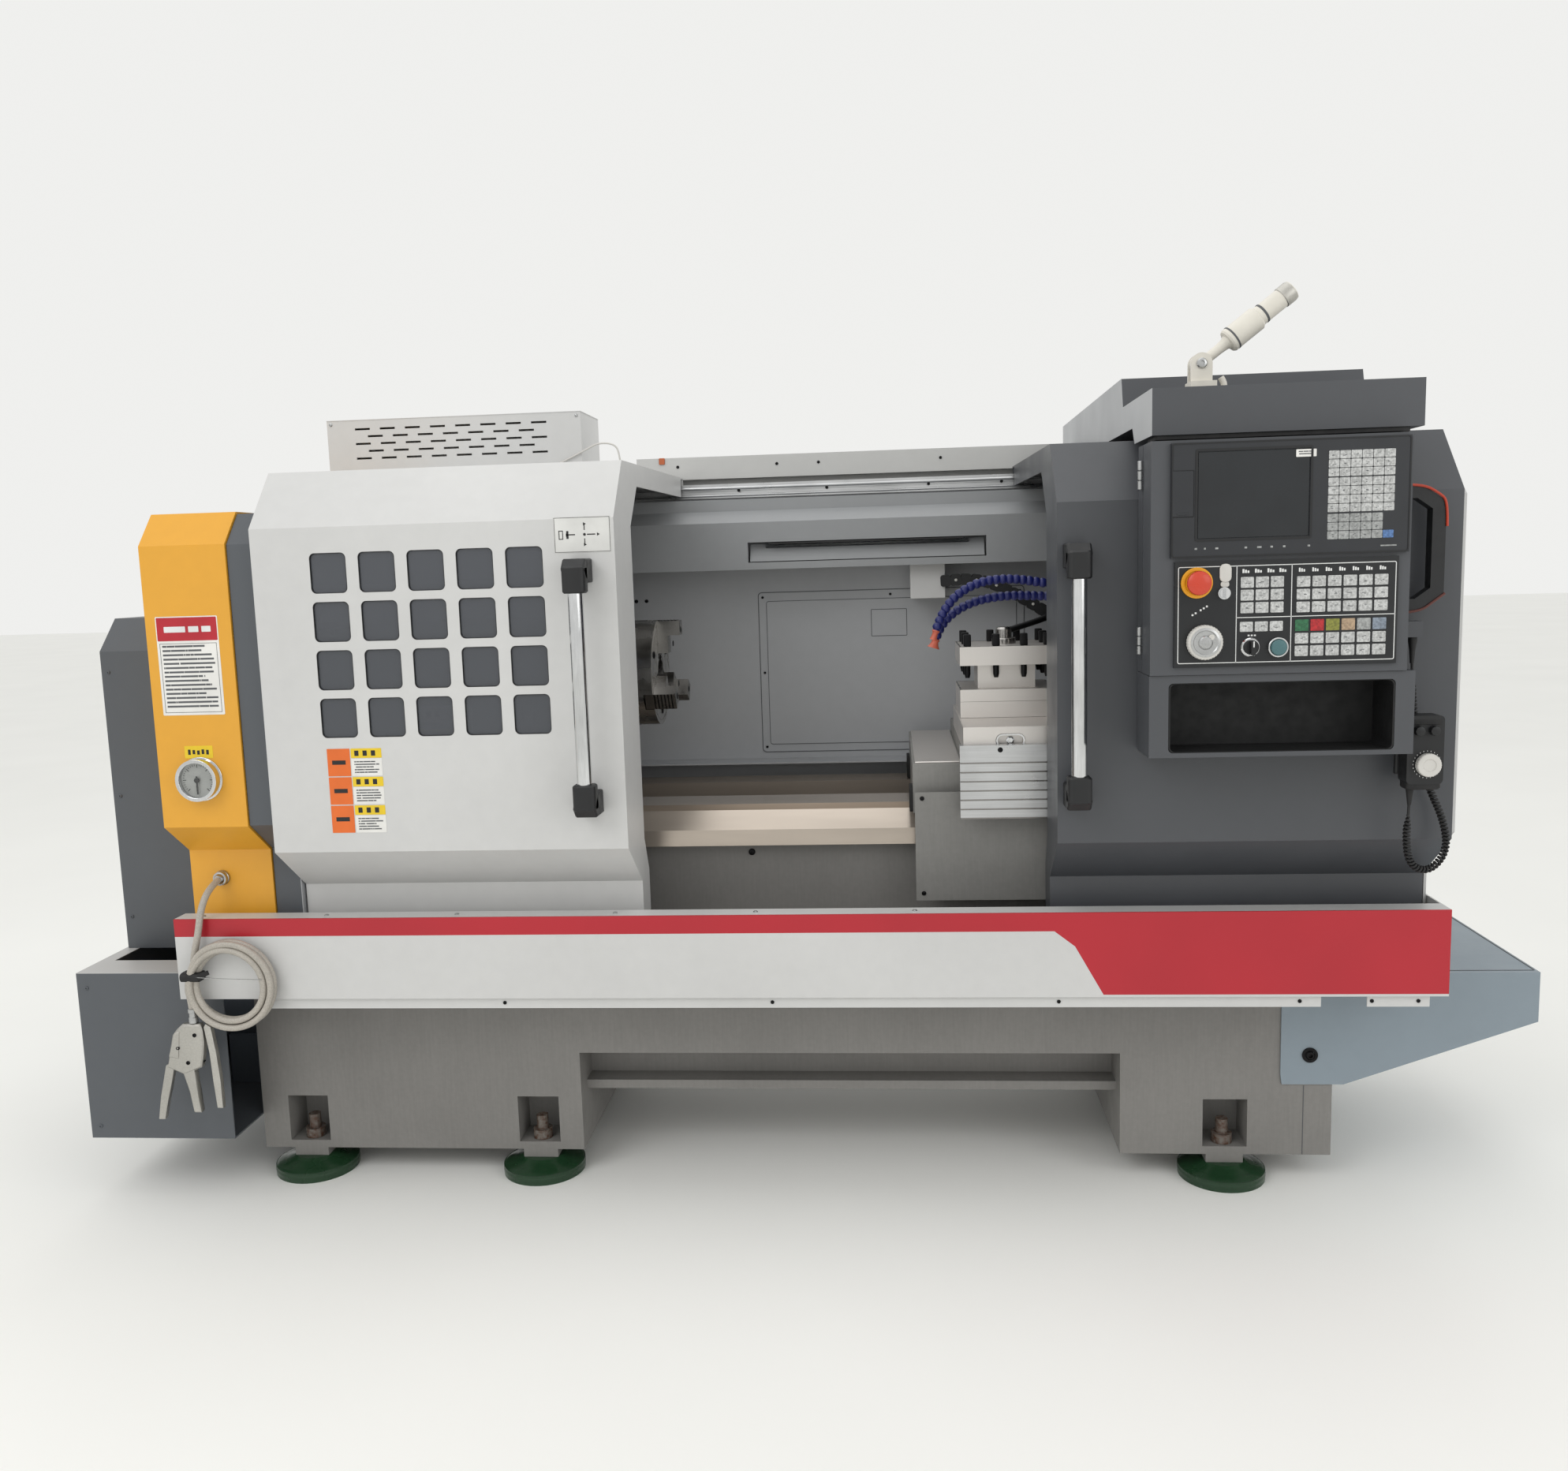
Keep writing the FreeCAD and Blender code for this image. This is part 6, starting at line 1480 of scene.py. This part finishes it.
class LATHE_OT_base_fittings(bpy.types.Operator):
    """Skirt screws, foot nuts, tank bolt, covers' seams and rear cabinet fittings"""
    bl_idname = "lathe.base_fittings"
    bl_label = "Base and rear"

    def execute(self, context):
        radius = context.scene.lathe_sizes.screw_head
        piece("lip_screws", "machine", screws("y", [(x, 417) for x in (-551, -32, 504, 940, 1068, 1150)], 8,
                                              radius * 0.8, 2.5), "blackened_steel")
        piece("flange_screws", "machine",
            screws("z", [(x, 22) for x in (-1150, -900, -640, -330, -60, 240)], 589, radius, 2.6, outward=1),
            "bright_zinc")
        piece("tank_bolt", "machine", screws("y", [(1004, 260)], 146, 9, 6)
              + [hoop("y", (1004, 260), 9.5, 15, (143.5, 146), 32)], "blackened_steel")
        piece("tank_lid_seam", "machine", [outlined("z", (1060, 1424), (158, 704), 425.8, 2, 0.8, 4)],
              "ink_grey_print")
        piece("base_joint", "machine", [box_slab("y", (994, 995.4), (54, 196), (149.3, 150.6), 0.5, 0.2)],
              "ink_grey_print")
        rings = [hoop("z", spot, 13.2, 22, (36.2, 40), 32) for spot in FOOT_SPOTS]
        piece("foot_washers", "machine", rings, "blackened_steel")
        self.feet()
        self.vented_box()
        self.rear_cabinet()
        self.covers()
        return {"FINISHED"}

    def feet(self):
        """Rounded skirts on the levelling feet: a quarter-round lip that rolls into a shallow cone."""
        profile = [(78, 0.4), (82.5, 2), (84.4, 8), (84.4, 14), (82, 20.5), (76, 23.5), (62, 26.5), (50, 31),
            (44, 35.6), (42, 36)]
        piece("foot_skirts", "machine", [turned("z", spot, profile, 64) for spot in FOOT_SPOTS],
            "dipped_foot_enamel")

    def vented_box(self):
        """Cable entries, a lead with its lug, and cover screws on the vented box."""
        piece("vent_box_gland", "machine",
            [turned("z", (-1184, 900), [(12, 1452), (14, 1454), (14, 1520), (11, 1530), (7, 1534)], 28)],
            "motor_casting_enamel")
        loop = [(-640, 803, 1478), (-585, 800, 1500), (-520, 800, 1530), (-490, 800, 1545), (-448, 800, 1540),
                (-440, 803, 1512), (-440, 806, 1490)]
        piece("vent_box_wire", "machine", [carried(smooth(loop, 5), 2.2, 8)], "light_grey_abs")
        piece("earth_lug", "machine", [box_slab("y", (-345, -331), (1487, 1502.4), (802, 805.2), 2, 0.4)],
            "copper_lug")
        piece("vent_box_screws", "machine",
            screws("y", [(-1156, 1612), (-543, 1612), (-1156, 1462), (-543, 1462)], 805, 4, 2.4),
            "bright_zinc")
        piece("vent_box_lid_fold", "machine", [outlined("z", (-1167, -532), (804, 1001), 1622.3, 9, 1.4, 2)],
              "cream_powder_coat")

    def rear_cabinet(self):
        """Two plain doors with swing latches on the back, bolts along the duct and the rail, and a rail
        strip.
        """
        doors, seams, latches = [], [], []
        for left, right in ((-1160, -52), (-38, 1070)):
            doors.append(box_slab("y", (left, right), (482, 1438), (1124, 1130.05), 6, 1.5))
            seams.append(outlined("y", (left + 14, right - 14), (496, 1424), 1130.05, 5, -0.06, 4))
            inner = right - 45 if right < 0 else left + 45
            for z in (760, 1160):
                latches += [
                    box_slab("y", (inner - 12, inner + 12), (z - 34, z + 34), (1128, 1130.1), 6, 0.03)]
        piece("rear_doors", "machine", doors, "cabinet_grey_powder_coat")
        piece("rear_door_seams", "machine", seams, "cabinet_grey_powder_coat")
        piece("rear_latches", "machine", latches, "blackened_steel")
        piece("duct_bolts", "machine",
            screws("y", [(-300, 1480), (-60, 1480), (40, 1480), (330, 1480), (600, 1480)], 805, 3.6, 2.5),
            "blackened_steel")
        piece("rail_bolts", "machine",
            screws("y", [(-700, 1418), (-150, 1418), (60, 1418), (300, 1418), (470, 1418)], 770.5, 3.6, 2.2),
            "blackened_steel")
        piece("rail_strip", "machine", [
                turned("x", (766.5, 1424), [(3.2, -1008), (3.6, -1006), (3.6, 1186), (3.2, 1188)], 16),
                turned("x", (767.2, 1407), [(2, -1008), (2.4, -1006), (2.4, 1186), (2, 1188)], 16)],
            "anodised_aluminium")

    def covers(self):
        """Screws of the end covers and of the yellow cover's edge."""
        piece("end_cover_screws", "machine",
            screws("y", [(-1412, 540), (-1412, 800), (-1412, 1060), (-1214, 1060)], 205, 4, 2.4)
            + screws("y", [(-1414, 150), (-1414, 440), (-1150, 440)], 33, 4, 2.4), "cover_grey_powder_coat")


# ---------------------------------------------------------------- panel and running

OPERATORS = (LATHE_OT_stage, LATHE_OT_blow_gun, LATHE_OT_hoses, LATHE_OT_finishes, LATHE_OT_end_covers,
    LATHE_OT_doors, LATHE_OT_work_area, LATHE_OT_tooling, LATHE_OT_display, LATHE_OT_operator_panel,
    LATHE_OT_cabinet_fittings, LATHE_OT_pendant, LATHE_OT_base_fittings)


class LATHE_PT_pieces(bpy.types.Panel):
    """List of the lathe's pieces, its colours and its sizes"""
    bl_label = "Turning lathe"
    bl_space_type = "VIEW_3D"
    bl_region_type = "UI"
    bl_category = "Lathe"

    def draw(self, context):
        for operator in OPERATORS:
            self.layout.operator(operator.bl_idname)
        for group in (context.scene.lathe_colours, context.scene.lathe_sizes):
            for name in group.bl_rna.properties.keys():
                if name not in ("rna_type", "name"):
                    self.layout.prop(group, name)


CLASSES = (LatheColours, LatheSizes, *OPERATORS, LATHE_PT_pieces)


def register():
    for kind in CLASSES:
        bpy.utils.register_class(kind)
    bpy.types.Scene.lathe_colours = bpy.props.PointerProperty(type=LatheColours)
    bpy.types.Scene.lathe_sizes = bpy.props.PointerProperty(type=LatheSizes)


def unregister():
    del bpy.types.Scene.lathe_sizes
    del bpy.types.Scene.lathe_colours
    for kind in reversed(CLASSES):
        bpy.utils.unregister_class(kind)


def main():
    """Make everything in order."""
    register()
    for operator in OPERATORS:
        group, name = operator.bl_idname.split(".")
        getattr(getattr(bpy.ops, group), name)()


if __name__ == "__main__":
    main()
